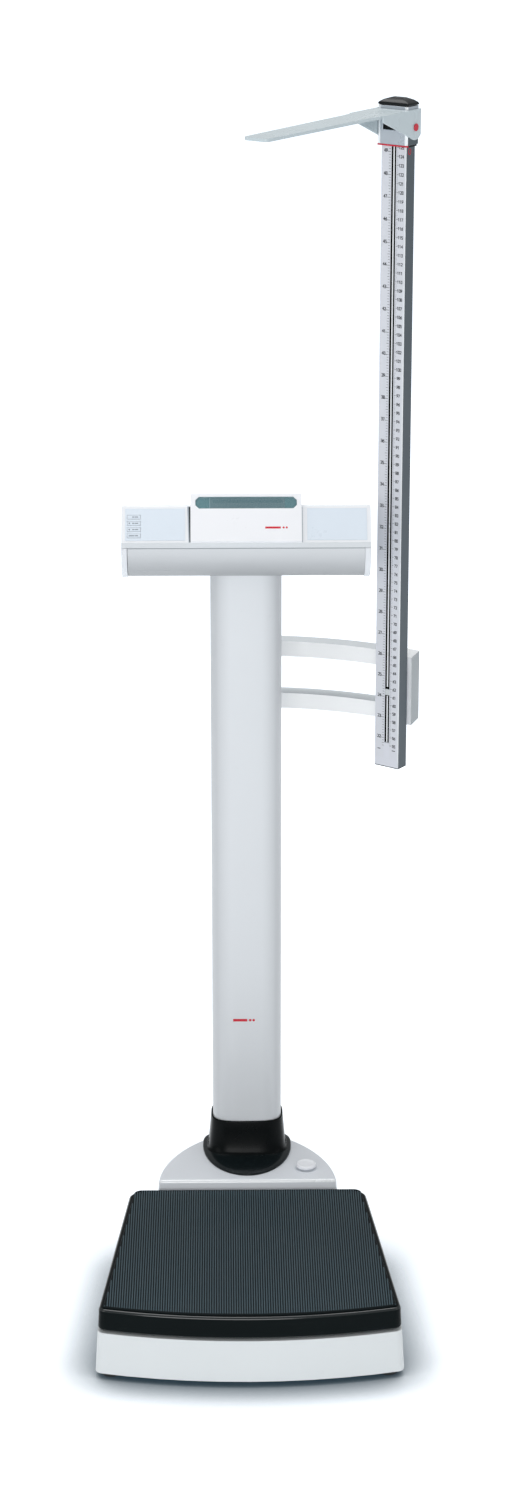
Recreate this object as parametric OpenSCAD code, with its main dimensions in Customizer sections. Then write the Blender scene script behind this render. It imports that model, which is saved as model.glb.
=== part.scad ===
// Column weighing scale with a digital head and a telescopic height measuring rod.
// Origin: on the floor under the platform, 2 mm in front of its centre.
// +X is the right of a person reading the display, +Y points away from that person, +Z is up.

/* [Platform] */
// Width of the platform at its front corners
platform_front_w = 342; // [320:1:360]
// Width of the platform at its rear edge
platform_rear_w = 283; // [275:1:310]
// Length of the platform along its centre line
platform_depth = 316; // [300:1:330]
// How far the front edge bows forward of its corners
front_bow = 22; // [10:1:30]
// Height of the standing surface above the floor
platform_top = 88; // [84:1:100]
// Height of the black tray's rim
tray_h = 26.5; // [22:0.5:30]
// Height of the floor gap under the base
foot_gap = 8; // [6:1:14]

/* [Column] */
// Width of the column tube
column_w = 83; // [70:1:95]
// Depth of the column tube
column_d = 57; // [45:1:65]
// Wall of the column tube
column_wall = 2.5; // [1.5:0.5:4]
// Distance of the column's axis behind the platform's centre
column_y = 267; // [260:1:275]
// Height of the column's top, inside the head
column_top = 846; // [840:1:848]

/* [Display head] */
// Width of the head
head_w = 283; // [270:1:300]
// Height of the head's lowest face above the floor
head_bottom = 834; // [820:1:840]
// Angle of the sloping key panel from the horizontal
panel_angle = 53; // [48:1:58]

/* [Measuring rod] */
// Sideways distance of the rod from the column's axis
rod_x = 165; // [155:1:175]
// Distance of the rod's front face behind the platform's centre
rod_y = 254; // [245:1:260]
// Turn of the rod, so that its front faces the platform
rod_yaw = 36; // [30:1:40]
// Width of the rod
rod_w = 33; // [30:1:36]
// Depth of the rod
rod_d = 17; // [16:1:20]
// Height of the rod's lower end above the floor
rod_bottom = 592; // [560:1:600]
// Height of the rod's upper end above the floor
rod_top = 1362; // [1300:1:1400]
// Reach of the headpiece in front of the rod
blade_reach = 266; // [220:1:280]

/* [Hidden] */

$fn = 48;
eps = 0.01;

// Platform outline
front_y = -156;
rear_y = front_y + platform_depth;
corner_y = front_y + front_bow;
side_slope = (platform_front_w - platform_rear_w) / 2 / (rear_y - corner_y);
side_cos = 1 / sqrt(1 + side_slope * side_slope);
bow_radius = (pow(platform_front_w / 2, 2) + pow(front_bow, 2)) / (2 * front_bow);
front_corner_r = 9;
rear_corner_r = 16;

// Levels in the platform, from the top down
mat_t = 4;
mat_sink = 2;
tray_top = platform_top - mat_t + mat_sink;
tray_bottom = tray_top - tray_h;
tray_wall = 3.5;
tray_plate = 4;
base_top = tray_bottom - 2;
base_wall = 3;
mat_margin = 6;
mat_rear_margin = 1.2;
mat_gap = 0.2;
plate_t = 2.5;
base_flare = 3;
base_top_flare = 0.4;
skin = 1;

// Levelling feet and castors
foot_r = 11.5;
foot_pad_h = 6;
foot_stem_r = 5;
foot_stem_h = 34;
foot_bore_r = 5.08;
foot_boss_z = 20;
front_foot = [156, -121];
rear_foot = [126, 134];
castor_x = 62;
castor_y = 270;
castor_r = 17;
castor_w = 14;
castor_z = castor_r + 1.5;
axle_r = 3;
axle_fit = 0.05;
axle_len = 30;
castor_tread = 10;
castor_hub_r = 12;
fork_d = 18;
fork_h = 34;
wheel_room = 2;

// Load cells: a bar, stepped at both ends, with two holes that make its middle bend
cell_at = [92, 78];
cell_w = 22;
cell_len = 90;
cell_end = 24;
cell_step = 4;
cell_hole_r = 4.5;
cell_hole_y = [40, 50];
cell_hole_z = 11;

// Rear cover and the base's rear lobe
lobe_y = 168;
lobe_half_w = 106;
lobe_depth = 136;
lobe_power = 1.8;
cover_front_y = rear_y + 4;
cover_top = 96;
cover_wall = 3;
cover_bevel = 6;
button_pos = [71, 199];
button_r = 12;
button_t = 3;
button_dome = 1.6;
button_gap = 2.6;
stem_r = 6;
stem_fit = 0.4;
stem_collar_z = 87;
spring_r = 4.6;
spring_wall = 1;
switch_w = 22;
plunger_r = 2.5;
plunger_h = 3;
spring_low = 78;
spring_high = 84;

// Column foot
socket_floor = 6;
column_z0 = base_top + socket_floor;
socket_h = 30;
collar_z0 = cover_top + 4;
collar_z1 = 141;
socket_wall = 4;
collar_z_mid = 112;
bolt_r = 4;
bolt_x = 52;
bolt_y = [226, 254];
bolt_head_r = 5.5;
bolt_head_h = 5;
nut_r = 7;
nut_h = 6;
socket_plate = [118, 48];
tube_fit = 0.2;
cable_x = -15;
cable_r = 3;
cable_hole_r = 8;
cable_z0 = 42.5;
cable_top = 868;
flange_half_w = 54;
flange_front = 84;
flange_rear = 36;
flange_power = 3.4;
flange_y = 263;
flange_taper = 4;

// Head: its side profile, seen along X, as [y, z]
nose = [184, 884];
panel_len = 46.3;
panel_dir = [cos(panel_angle), sin(panel_angle)];
panel_out = [-sin(panel_angle), cos(panel_angle)];
split_z = 877.75;
shell_gap = 0.3;
shell_wall = 2.5;
head_rear_y = 306;
head_rear_z = 894;
roof_rear_y = 266;
roof_drop = 16;
belly_centre = [232, split_z];
belly_a = belly_centre[0] - nose[0];
belly_b = split_z - head_bottom;
belly_steps = 16;
rear_chamfer = 10;
rear_wall_z0 = 848;
panel_top = nose + panel_len * panel_dir;
roof_slope = roof_drop / (roof_rear_y - panel_top[0]);
cap_w = 7;
cap_proud = 1.5;
unit_w = 126;
unit_proud = 5;
unit_len = 58;
unit_back_y = 262;
window_w = 115;
window_h = 14.3;
window_s = 40;
module_n = -2;
panel_n = shell_gap * cos(panel_angle);
pad_w = 68;
pad_h = 39;
pad_t = 0.6;
pad_x = 103;
key_w = 15;
key_h = 4.6;
key_t = 1;
key_travel = 0.5;
key_pitch = 7.6;
key_x = -127;
key_s = 6.4;
key_skin = 0.9;
bracket_size = [128, 59];
bracket_y = 264;
bracket_t = 5;
head_screw = [55, 22];
head_screw_r = 2;
head_screw_head = 4;
board_at = [-95, 196, 868];
board_size = [190, 84, 1.6];
battery_at = [58, 268, 842];
battery_size = [60, 30, 18];
door_x = 58;
door_w = 62;
door_h = 19;
door_lip = 5;

// Rod bracket
arm_h = 19;
arm_low = 640.5;
arm_high = 705;
arm_r_in = 331;
arm_r_out = 353;
arm_from = 55;
arm_turn = 41;
block_w = 40;
block_y0 = 21;
block_y1 = 50;
block_taper = 8;
neck_w = 16;
saddle_w = 60;
saddle_screw_x = 18;
screw_r = 2.5;
screw_fit = 0.1;
screw_head_r = 5;
screw_head_h = 3;
saddle_grip = 18;
arm_flat = 0.5;

// Rod, in its own frame: X to its right, -Y out of its front face
rod_wall = 1.8;
slot_w = 6;
slot_low = 621;
strip_low = 602;
scale_w = 11.4;
scale_x = slot_w / 2 + 0.9;
scale_t = 0.3;
stop_z = 680;
stop_h = 7;
end_cap_t = 1;
plug_h = 12;
inner_gap = 0.5;
inner_wall = 1.5;
inner_z0 = 640;
rib_w = 2;
rib_y = 1.4;
cap_z0 = 1364;
cap_h = 8;
glide_gap = 0.4;
glide_t = 1.1;
sleeve_t = 2;
sleeve_z0 = 1321;
sleeve_z1 = 1363.5;
sleeve_opening = 10;
glide_low = 2.5;
brake_z = 1337;
brake_half = 12.8;
brake_h = 12;
brake_fit = 0.2;
line_h = 1.8;
pivot_y = 8.5;
pivot_z = 1340.5;
pin_r = 3;
pin_fit = 0.05;
blade_top = 1360;
blade_t = 3.5;
cheek_gap = 0.4;
cheek_t = 2;
cheek_low = 14;
cheek_front = -56;
cheek_nose_h = 7;
blade_root = -4.6;
blade_flare = -34;
blade_neck = -72;
neck_half = 18.5;
tip_half = 15.5;
pivot_cap_r = 4.2;
pivot_cap_t = 1.2;
sleeve_half = rod_w / 2 + glide_gap + glide_t + sleeve_t;
sleeve_front = -glide_gap - glide_t - sleeve_t;
sleeve_rear = rod_d + glide_gap + glide_t + sleeve_t - 0.8;
cheek_in = sleeve_half + cheek_gap;
cheek_out = cheek_in + cheek_t;

// ---------- outlines ----------

function unit(v) = v / norm(v);

// Points of a round corner of radius r at b, between its neighbours a and c
function corner(a, b, c, r, steps = 6) =
    r == 0 ? [b] :
    let (
        u = unit(a - b),
        v = unit(c - b),
        half = acos(u * v) / 2,
        centre = b + unit(u + v) * r / sin(half),
        first = b + u * r / tan(half) - centre,
        last = b + v * r / tan(half) - centre
    )
    [for (i = [0:steps])
        let (part = i / steps)
        centre + r * unit(first * (1 - part) + last * part)];

function rounded(points, radii) = [
    for (i = [0:len(points) - 1])
        let (n = len(points))
        each corner(points[(i + n - 1) % n], points[i], points[(i + 1) % n], radii[i])
];

function half_width(y, inset) =
    platform_front_w / 2 - side_slope * (y - corner_y) - inset / side_cos;

function bow_y(x, inset) =
    front_y + inset + bow_radius - sqrt(pow(bow_radius, 2) - x * x);

// The platform's outline, a trapezium with a bowed front, drawn inset by some distance
module platform_outline(inset = 0, rear_inset = undef) {
    steps = 10;
    yf = corner_y + inset;
    yr = rear_y - (is_undef(rear_inset) ? inset : rear_inset);
    front = half_width(yf, inset);
    rear = half_width(yr, inset);
    bow = [for (i = [1:steps - 1])
        let (x = front * (2 * i / steps - 1))
        [x, bow_y(x, inset)]];
    points = concat([[-front, bow_y(front, inset)]], bow, [[front, bow_y(front, inset)]],
        [[rear, yr], [-rear, yr]]);
    radii = concat([front_corner_r], [for (i = [1:steps - 1]) 0], [front_corner_r],
        [max(rear_corner_r - inset, 3), max(rear_corner_r - inset, 3)]);
    polygon(rounded(points, radii));
}

function super(a, b, power, from = 0, to = 360, steps = 72) = [
    for (i = [0:steps])
        let (t = from + (to - from) * i / steps, c = cos(t), s = sin(t))
        [a * sign(c) * pow(abs(c), 2 / power), b * sign(s) * pow(abs(s), 2 / power)]
];

// The rear lobe of the base: straight at its front, a blunt half oval at its rear
module lobe_outline(inset = 0, front = rear_y) {
    points = concat([[-lobe_half_w + inset, front + inset]],
        [for (p = super(lobe_half_w - inset, lobe_depth - inset, lobe_power, 180, 0, 36))
            [p[0], p[1] + lobe_y]],
        [[lobe_half_w - inset, front + inset]]);
    polygon(points);
}

// Cross-section of the column, grown by some distance
module column_section(grow = 0) {
    translate([0, column_y])
        polygon([for (i = [0:71]) super(column_w / 2 + grow, column_d / 2 + grow, 3.4)[i]]);
}

// ---------- base ----------

// The base: a platform part that flares out towards the floor, and the straight rear lobe
module base_body(z0, z1, inset = 0) {
    hull() {
        translate([0, 0, z0]) linear_extrude(skin) platform_outline(inset - base_flare);
        translate([0, 0, z1 - skin]) linear_extrude(skin) platform_outline(inset - base_top_flare);
    }
    translate([0, 0, z0]) linear_extrude(z1 - z0) lobe_outline(inset, rear_y - 20);
}

module feet_at() {
    for (x = [-front_foot[0], front_foot[0]])
        translate([x, front_foot[1]]) children();
    for (x = [-rear_foot[0], rear_foot[0]])
        translate([x, rear_foot[1]]) children();
}

module base_housing() {
    color("#dfe3ea")
    difference() {
        union() {
            difference() {
                base_body(foot_gap, base_top);
                base_body(foot_gap - skin, base_top - base_wall, base_wall);
            }
            feet_at() translate([0, 0, foot_boss_z])
                cylinder(r = foot_r, h = base_top - foot_boss_z - skin);
            for (side = [-1, 1])
                translate([side * castor_x - axle_len / 2, castor_y - fork_d / 2, foot_gap])
                    cube([axle_len, fork_d, fork_h]);
        }
        feet_at() translate([0, 0, -skin])
            cylinder(r = foot_bore_r, h = base_top - base_wall + skin);
        for (side = [-1, 1]) {
            translate([side * castor_x - castor_w / 2 - wheel_room, castor_y - castor_r - 7, -1])
                cube([castor_w + 2 * wheel_room, 60, castor_z + castor_r + 6]);
            translate([side * castor_x - axle_len / 2, castor_y, castor_z]) rotate([0, 90, 0])
                cylinder(r = axle_r, h = axle_len);
        }
        column_bolt_spots() translate([0, 0, base_top - 10])
            cylinder(r = bolt_r, h = 20);
        translate([cable_x, column_y, base_top - 10]) cylinder(r = cable_hole_r, h = 20);
    }
}

module base_plate() {
    color("#8d9296")
    translate([0, 0, foot_gap])
        linear_extrude(plate_t)
            difference() {
                platform_outline(base_wall - base_flare + 2 * shell_gap);
                feet_at() circle(r = foot_r + 2);
            }
}

module levelling_foot(spot) {
    color("#1b1d1f")
    translate(spot) {
        cylinder(r = foot_r, h = foot_pad_h);
        translate([0, 0, foot_pad_h - eps]) cylinder(r = foot_stem_r, h = foot_stem_h);
    }
}

module front_left_foot() levelling_foot([-front_foot[0], front_foot[1]]);
module front_right_foot() levelling_foot(front_foot);
module rear_left_foot() levelling_foot([-rear_foot[0], rear_foot[1]]);
module rear_right_foot() levelling_foot(rear_foot);

module castor_wheel(side) {
    color("#2a2c2e")
    translate([side * castor_x, castor_y, castor_z]) rotate([0, 90, 0])
        difference() {
            union() {
                cylinder(r = castor_r, h = castor_tread, center = true);
                cylinder(r = castor_hub_r, h = castor_w, center = true);
            }
            cylinder(r = axle_r + axle_fit, h = castor_w + 2, center = true);
        }
}

module left_castor_wheel() castor_wheel(-1);
module right_castor_wheel() castor_wheel(1);

module castor_axles() {
    color("#b9bcc0")
    for (side = [-1, 1])
        translate([side * castor_x, castor_y, castor_z]) rotate([0, 90, 0])
            cylinder(r = axle_r, h = axle_len, center = true);
}

// ---------- platform ----------

module load_cells() {
    cell_h = tray_top - tray_plate - base_top;
    color("#c3c7cb")
    for (sx = [-1, 1], sy = [-1, 1])
        translate([sx * cell_at[0] - cell_w / 2, sy * cell_at[1] - cell_len / 2, base_top])
            difference() {
                union() {
                    cube([cell_w, cell_end, cell_h - cell_step - 2]);
                    translate([0, 0, cell_step]) cube([cell_w, cell_len, cell_h - 2 * cell_step - 2]);
                    translate([0, cell_len - cell_end, cell_step])
                        cube([cell_w, cell_end, cell_h - cell_step]);
                }
                for (y = cell_hole_y)
                    translate([-1, y, cell_hole_z]) rotate([0, 90, 0])
                        cylinder(r = cell_hole_r, h = cell_w + 2);
            }
}

module platform_tray() {
    color("#14191b")
    difference() {
        translate([0, 0, tray_bottom]) linear_extrude(tray_h) platform_outline();
        translate([0, 0, tray_bottom - 1])
            linear_extrude(tray_h - tray_plate + 1) platform_outline(tray_wall);
        translate([0, 0, tray_top - mat_sink])
            linear_extrude(mat_sink + 1) platform_outline(mat_margin, mat_rear_margin);
    }
}

module rubber_mat() {
    color("#3d474c")
    translate([0, 0, tray_top - mat_sink])
        linear_extrude(mat_t) platform_outline(mat_margin + mat_gap, mat_rear_margin + mat_gap);
}

// ---------- rear cover and its foot button ----------

module cover_block(inset = 0) {
    hull() {
        translate([0, 0, base_top]) linear_extrude(skin) lobe_outline(inset - 3, cover_front_y + 3);
        translate([0, 0, base_top + 8]) linear_extrude(skin) lobe_outline(inset - 2, cover_front_y + 2);
        translate([0, 0, cover_top - cover_bevel]) linear_extrude(skin) lobe_outline(inset, cover_front_y);
        translate([0, 0, cover_top - skin]) linear_extrude(skin)
            lobe_outline(inset + 3, cover_front_y - 2);
    }
}

module rear_cover() {
    color("#e3e6ed")
    difference() {
        cover_block();
        translate([0, 0, -cover_wall]) cover_block(cover_wall);
        translate([0, 0, cover_top - 20]) linear_extrude(40) column_section(tube_fit);
        translate([button_pos[0], button_pos[1], cover_top - 20])
            cylinder(r = stem_r + stem_fit, h = 40);
    }
}

module foot_button() {
    button_z = cover_top + button_gap;
    color("#e6e9ef")
    translate([button_pos[0], button_pos[1], 0]) {
        translate([0, 0, button_z]) cylinder(r = button_r, h = button_t);
        translate([0, 0, button_z + button_t - eps])
            cylinder(r1 = button_r, r2 = button_r - 2, h = button_dome);
        translate([0, 0, spring_high]) cylinder(r = stem_r, h = button_z + 1 - spring_high);
        translate([0, 0, stem_collar_z]) cylinder(r = stem_r + 3, h = 2);
    }
}

module button_spring() {
    color("#a8acb0")
    translate([button_pos[0], button_pos[1], spring_low])
        difference() {
            cylinder(r = spring_r, h = spring_high - spring_low);
            translate([0, 0, -1]) cylinder(r = spring_r - spring_wall, h = spring_high - spring_low + 2);
        }
}

module foot_switch() {
    color("#23282c")
    translate([button_pos[0], button_pos[1], base_top]) {
        translate([-switch_w / 2, -switch_w / 2, 0]) cube([switch_w, switch_w, spring_low - base_top]);
        translate([0, 0, spring_low - base_top - eps]) cylinder(r = plunger_r, h = plunger_h);
    }
}

// ---------- column and its foot ----------

module column_bolt_spots() {
    for (x = [-bolt_x, bolt_x], y = bolt_y)
        translate([x, y]) children();
}

module column_socket() {
    color("#7d8388")
    difference() {
        union() {
            translate([0, 0, base_top]) linear_extrude(socket_floor)
                translate([0, (bolt_y[0] + bolt_y[1]) / 2]) square(socket_plate, center = true);
            translate([0, 0, base_top]) intersection() {
                linear_extrude(socket_h) column_section(socket_wall);
                linear_extrude(socket_h) lobe_outline(cover_wall + 1);
            }
        }
        translate([0, 0, column_z0]) linear_extrude(socket_h) column_section();
        column_bolt_spots() translate([0, 0, base_top - 1]) cylinder(r = bolt_r, h = 20);
        translate([cable_x, column_y, base_top - 1]) cylinder(r = cable_hole_r, h = 20);
    }
}

module column_bolts() {
    color("#4a4e52")
    column_bolt_spots() {
        translate([0, 0, column_z0]) cylinder(r = bolt_head_r, h = bolt_head_h);
        translate([0, 0, base_top - nut_h - 1]) cylinder(r = bolt_r, h = socket_floor + nut_h + 1 + eps);
        translate([0, 0, base_top - base_wall - nut_h]) cylinder(r = nut_r, h = nut_h, $fn = 6);
    }
}

// The flange under the collar: a long oval nose towards the platform, short and blunt behind the column
module flange_outline(inset = 0) {
    w = flange_half_w - inset;
    polygon([for (p = concat(super(w, flange_front - inset, 2, 180, 360, 36),
            super(w, flange_rear - inset, flange_power, 5, 175, 34)))
        [p[0], p[1] + flange_y]]);
}

module foot_flange() {
    color("#101517")
    difference() {
        hull() {
            translate([0, 0, cover_top]) linear_extrude(1.5) flange_outline();
            translate([0, 0, collar_z0 - skin]) linear_extrude(skin) flange_outline(flange_taper);
        }
        translate([0, 0, cover_top - 20]) linear_extrude(60) column_section(tube_fit);
    }
}

module foot_collar() {
    color("#101517")
    difference() {
        hull() {
            translate([0, -3.5, collar_z0]) linear_extrude(skin) column_section(6);
            translate([0, -1, collar_z_mid]) linear_extrude(skin) column_section(4.2);
            translate([0, 0, collar_z1 - skin]) linear_extrude(skin) column_section(2);
        }
        translate([0, 0, collar_z0 - 5]) linear_extrude(60) column_section(tube_fit);
    }
}

module column_tube() {
    color("#c9ced6")
    translate([0, 0, column_z0])
        linear_extrude(column_top - column_z0)
            difference() {
                column_section();
                column_section(-column_wall);
            }
}

module signal_cable() {
    color("#2a2d30")
    translate([cable_x, column_y, cable_z0])
        cylinder(r = cable_r, h = cable_top - cable_z0);
}

// ---------- display head ----------

// A point on the key panel's plane: s along the slope from the nose, n outwards
function on_panel(s, n = 0) = nose + s * panel_dir + n * panel_out;

// Side profile of the lower shell, shrunk by some distance and cut off at some height
module lower_profile(inset = 0, top = split_z) {
    polygon(concat([[nose[0] + inset, top]],
        [for (i = [1:belly_steps])
            let (t = i * 90 / belly_steps)
            belly_centre - [(belly_a - inset) * cos(t), (belly_b - inset) * sin(t)]],
        [[head_rear_y - rear_chamfer, head_bottom + inset], [head_rear_y - inset, rear_wall_z0],
            [head_rear_y - inset, top]]));
}

module upper_profile() {
    polygon(rounded(
        [[nose[0], split_z], nose, panel_top, [roof_rear_y, panel_top[1] - roof_drop],
            [head_rear_y - 4, head_rear_z], [head_rear_y, split_z]], [0, 2.5, 4, 12, 8, 0]));
}

module along_x(w) {
    rotate([90, 0, 90]) translate([0, 0, -w / 2]) linear_extrude(w) children();
}

module upper_cavity() {
    wall = shell_wall + 0.7;
    along_x(head_w - 2 * shell_wall)
        polygon([[nose[0] + 3, split_z - 1], [nose[0] + 3, nose[1] + 0.8],
            on_panel(panel_len - 3, -wall), [roof_rear_y, panel_top[1] - roof_drop - wall],
            [head_rear_y - 4 - wall, head_rear_z - wall], [head_rear_y - wall, split_z - 1]]);
}

// Places a child on the panel: its X along the head, its Y up the slope, its Z outwards
module panel_frame(x, s, n = 0) {
    p = on_panel(s, n);
    translate([x, p[0], p[1]]) rotate([panel_angle, 0, 0]) children();
}

module head_bracket() {
    color("#8a9095")
    difference() {
        translate([0, 0, head_bottom + shell_wall]) linear_extrude(bracket_t)
            translate([0, bracket_y]) square(bracket_size, center = true);
        translate([0, 0, head_bottom - 1]) linear_extrude(30) column_section(tube_fit / 2);
        head_screw_spots() translate([0, 0, head_bottom - 1])
            cylinder(r = head_screw_r + screw_fit, h = 20);
    }
}

module head_screw_spots() {
    for (sx = [-1, 1], sy = [-1, 1])
        translate([sx * head_screw[0], column_y + sy * head_screw[1]]) children();
}

module head_screws() {
    color("#5a5f64")
    head_screw_spots() {
        translate([0, 0, head_bottom - 2]) cylinder(r = head_screw_head, h = 2);
        translate([0, 0, head_bottom - eps]) cylinder(r = head_screw_r, h = shell_wall + bracket_t);
    }
}

module head_lower_shell() {
    color("#d3d7dc")
    difference() {
        along_x(head_w - 2 * cap_w) lower_profile();
        along_x(head_w - 2 * cap_w - 2 * shell_wall) lower_profile(shell_wall, split_z + 1);
        translate([0, 0, head_bottom - 5]) linear_extrude(30) column_section(tube_fit);
        head_screw_spots() translate([0, 0, head_bottom - 5])
            cylinder(r = head_screw_r + screw_fit, h = 20);
        door_hole();
    }
}

module end_cap(side) {
    x = side * (head_w / 2 - cap_w / 2 + 0.15);
    color("#d9dde2")
    translate([x, 0, 0])
        rotate([90, 0, 90]) translate([0, 0, -cap_w / 2])
            linear_extrude(cap_w - 0.3) cap_profile();
}

module cap_profile() {
    rear = head_rear_y + 0.5;
    polygon(concat(
        [for (i = [0:belly_steps])
            let (t = i * 90 / belly_steps)
            belly_centre - [(belly_a + 0.6) * cos(t), (belly_b + cap_proud) * sin(t)]],
        [[head_rear_y - rear_chamfer, head_bottom - cap_proud],
            [rear, rear_wall_z0 - 2], [rear, split_z]]));
}

module left_end_cap() end_cap(-1);
module right_end_cap() end_cap(1);

module head_upper_shell() {
    color("#eef0f3")
    difference() {
        translate([0, 0, shell_gap]) along_x(head_w) upper_profile();
        translate([0, 0, shell_gap]) upper_cavity();
        panel_frame(0, window_s - 1, module_n - 1) translate([-window_w / 2 - 1, 0, 0])
            cube([window_w + 2, window_h, 30]);
        for (side = [-1, 1])
            panel_frame(side * pad_x, 3, shell_gap - 0.3) translate([-pad_w / 2, 0, 0])
                cube([pad_w, pad_h, 4]);
        for (i = [0:3]) key_pocket(i, 0.4);
    }
}

// Height of the upper shell's sloping roof, with a hair's clearance
function roof_z(y) = panel_top[1] + shell_gap + 0.05 - roof_slope * (y - panel_top[0]);

// Side profile of the display housing: a wedge that lies on the panel and reaches back over the head
module unit_profile() {
    n = panel_n;
    back = unit_back_y;
    front_top = on_panel(unit_len, n + unit_proud);
    edge_y = panel_top[0] + 2;
    polygon([on_panel(0, n), on_panel(0, n + unit_proud), front_top, front_top + [3, -1.2],
        [back, roof_z(back) + 0.8], [back, roof_z(back)], [edge_y, roof_z(edge_y)],
        on_panel(panel_len - 1, n)]);
}

module display_housing() {
    color("#f1f3f5")
    difference() {
        along_x(unit_w) unit_profile();
        panel_frame(0, window_s, module_n) window_shape(window_w, window_h, 20);
    }
}

// A bar with chamfered ends
module window_shape(w, h, t) {
    c = 4;
    translate([0, h / 2, 0]) linear_extrude(t)
        polygon([[-w / 2, -h / 2 + c], [-w / 2 + c, -h / 2], [w / 2 - c, -h / 2], [w / 2, -h / 2 + c],
            [w / 2, h / 2 - c], [w / 2 - c, h / 2], [-w / 2 + c, h / 2], [-w / 2, h / 2 - c]]);
}

module display_window() {
    color("#5f8589", 0.7)
    panel_frame(0, window_s + 0.1, panel_n + unit_proud - 2)
        window_shape(window_w - 0.2, window_h - 0.2, 1.6);
}

module display_module() {
    color("#63737f")
    panel_frame(0, window_s + 0.5, module_n) window_shape(window_w - 1, window_h - 1, 4);
}

module pad(side) {
    color("#dce4ec")
    difference() {
        panel_frame(side * pad_x, 3.2, shell_gap - 0.3) translate([-pad_w / 2 + 0.2, 0, 0])
            cube([pad_w - 0.4, pad_h - 0.4, pad_t]);
        for (i = [0:3]) key_pocket(i, 0.35);
    }
}

module left_pad() pad(-1);
module right_pad() pad(1);

module key_pocket(i, gap) {
    panel_frame(key_x, key_s + i * key_pitch, 0)
        translate([-key_w / 2 - gap, -gap, -key_travel - key_skin])
            cube([key_w + 2 * gap, key_h + 2 * gap, 6]);
}

module key_cap(i) {
    color("#cfd9e3")
    panel_frame(key_x, key_s + i * key_pitch, 0) translate([-key_w / 2, 0, 0])
        cube([key_w, key_h, key_t]);
}

module key_1() key_cap(3);
module key_2() key_cap(2);
module key_3() key_cap(1);
module key_4() key_cap(0);

module circuit_board() {
    color("#2f6b46")
    difference() {
        translate(board_at) cube(board_size);
        translate([cable_x, column_y, board_at[2] - 1]) cylinder(r = cable_r + tube_fit, h = 4);
    }
}

module battery_pack() {
    color("#3a3d42")
    translate(battery_at) cube(battery_size);
}

module door_hole() {
    translate([door_x, head_rear_y - 8, rear_wall_z0]) cube([door_w, 20, door_h]);
}

module battery_door() {
    gap = 0.4;
    color("#cfd3d9")
    translate([door_x, head_rear_y, rear_wall_z0]) {
        translate([gap, -shell_wall, gap]) cube([door_w - 2 * gap, shell_wall + 1, door_h - 2 * gap]);
        translate([-door_lip, gap, -door_lip]) cube([door_w + 2 * door_lip, 2, door_h + 2 * door_lip]);
    }
}

// ---------- rod bracket ----------

module rod_frame() {
    translate([rod_x, rod_y, 0]) rotate([0, 0, -rod_yaw]) children();
}

module arm_saddle() {
    color("#aeb4b8")
    difference() {
        intersection() {
            translate([-saddle_w / 2, column_y, arm_low - 1])
                cube([saddle_w, 100, arm_high + arm_h - arm_low + 2]);
            cylinder(r = arm_r_in, h = 1000, $fn = 180);
        }
        translate([0, 0, arm_low - 5]) linear_extrude(120) column_section();
        saddle_screws(screw_r + screw_fit);
    }
}

// Screws along Y, through each arm into the saddle
module saddle_screws(r) {
    saddle_screw_spots() translate([0, arm_r_in - saddle_grip, 0]) rotate([-90, 0, 0])
        cylinder(r = r, h = arm_r_out - arm_r_in + saddle_grip);
}

module saddle_screw_spots() {
    for (x = [-saddle_screw_x, saddle_screw_x], z = [arm_low, arm_high])
        translate([x, 0, z + arm_h / 2]) children();
}

// An arm is a flat bar bent round the platform's centre, from behind the column to the rod block
module arm(z) {
    color("#e4e6ea")
    difference() {
        translate([0, 0, z]) rotate([0, 0, arm_from]) rotate_extrude(angle = arm_turn, $fn = 180)
            translate([arm_r_in, 0]) square([arm_r_out - arm_r_in, arm_h]);
        rod_frame() translate([-block_w / 2, -30, z - 5]) cube([200, 120, arm_h + 10]);
        saddle_screws(screw_r + screw_fit);
        translate([-50, arm_r_out - arm_flat, z - 5]) cube([100, 20, arm_h + 10]);
    }
}

module upper_arm() arm(arm_high);
module lower_arm() arm(arm_low);

module rod_block() {
    color("#a8afb2")
    rod_frame() difference() {
        translate([0, 0, arm_low]) linear_extrude(arm_high + arm_h - arm_low) {
            polygon([[-block_w / 2, block_y0], [block_w / 2, block_y0],
                [block_w / 2 - block_taper, block_y1], [-block_w / 2, block_y1]]);
            translate([-neck_w / 2, rod_d]) square([neck_w, block_y0 - rod_d + 1]);
        }
        block_screws(rod_d - 1, screw_r + screw_fit);
    }
}

// Screws along the rod's depth, through the block into the rod
module block_screws(from, r) {
    for (z = [arm_low, arm_high])
        translate([0, from, z + arm_h / 2]) rotate([-90, 0, 0]) cylinder(r = r, h = block_y1 - from + 1);
}

module bracket_screws() {
    color("#6a6f73")
    union() {
        rod_frame() difference() {
            block_screws(rod_d - rod_wall, screw_r);
            translate([-20, block_y1, 0]) cube([40, 10, 1000]);
        }
        rod_frame() for (z = [arm_low, arm_high])
            translate([0, block_y1, z + arm_h / 2]) screw_head();
        saddle_screws(screw_r);
        saddle_screw_spots() translate([0, arm_r_out - arm_flat, 0]) screw_head();
    }
}

module screw_head() {
    rotate([-90, 0, 0]) cylinder(r = screw_head_r, h = screw_head_h);
}

// ---------- rod ----------

module box_ring(w, d, t) {
    difference() {
        translate([-w / 2, 0]) square([w, d]);
        translate([-w / 2 + t, t]) square([w - 2 * t, d - 2 * t]);
    }
}

module rod_profile() {
    color("#c4c6cc")
    rod_frame() difference() {
        translate([0, 0, rod_bottom]) linear_extrude(rod_top - rod_bottom)
            box_ring(rod_w, rod_d, rod_wall);
        translate([-slot_w / 2, -1, slot_low]) cube([slot_w, rod_wall + 2, rod_top - slot_low + 1]);
        for (side = [-1, 1])
            translate([side * (scale_x + scale_w / 2) - scale_w / 2, -1, strip_low])
                cube([scale_w, 1 + scale_t, rod_top - strip_low + 1]);
        block_screws(rod_d - 4, screw_r + screw_fit);
    }
}

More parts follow.
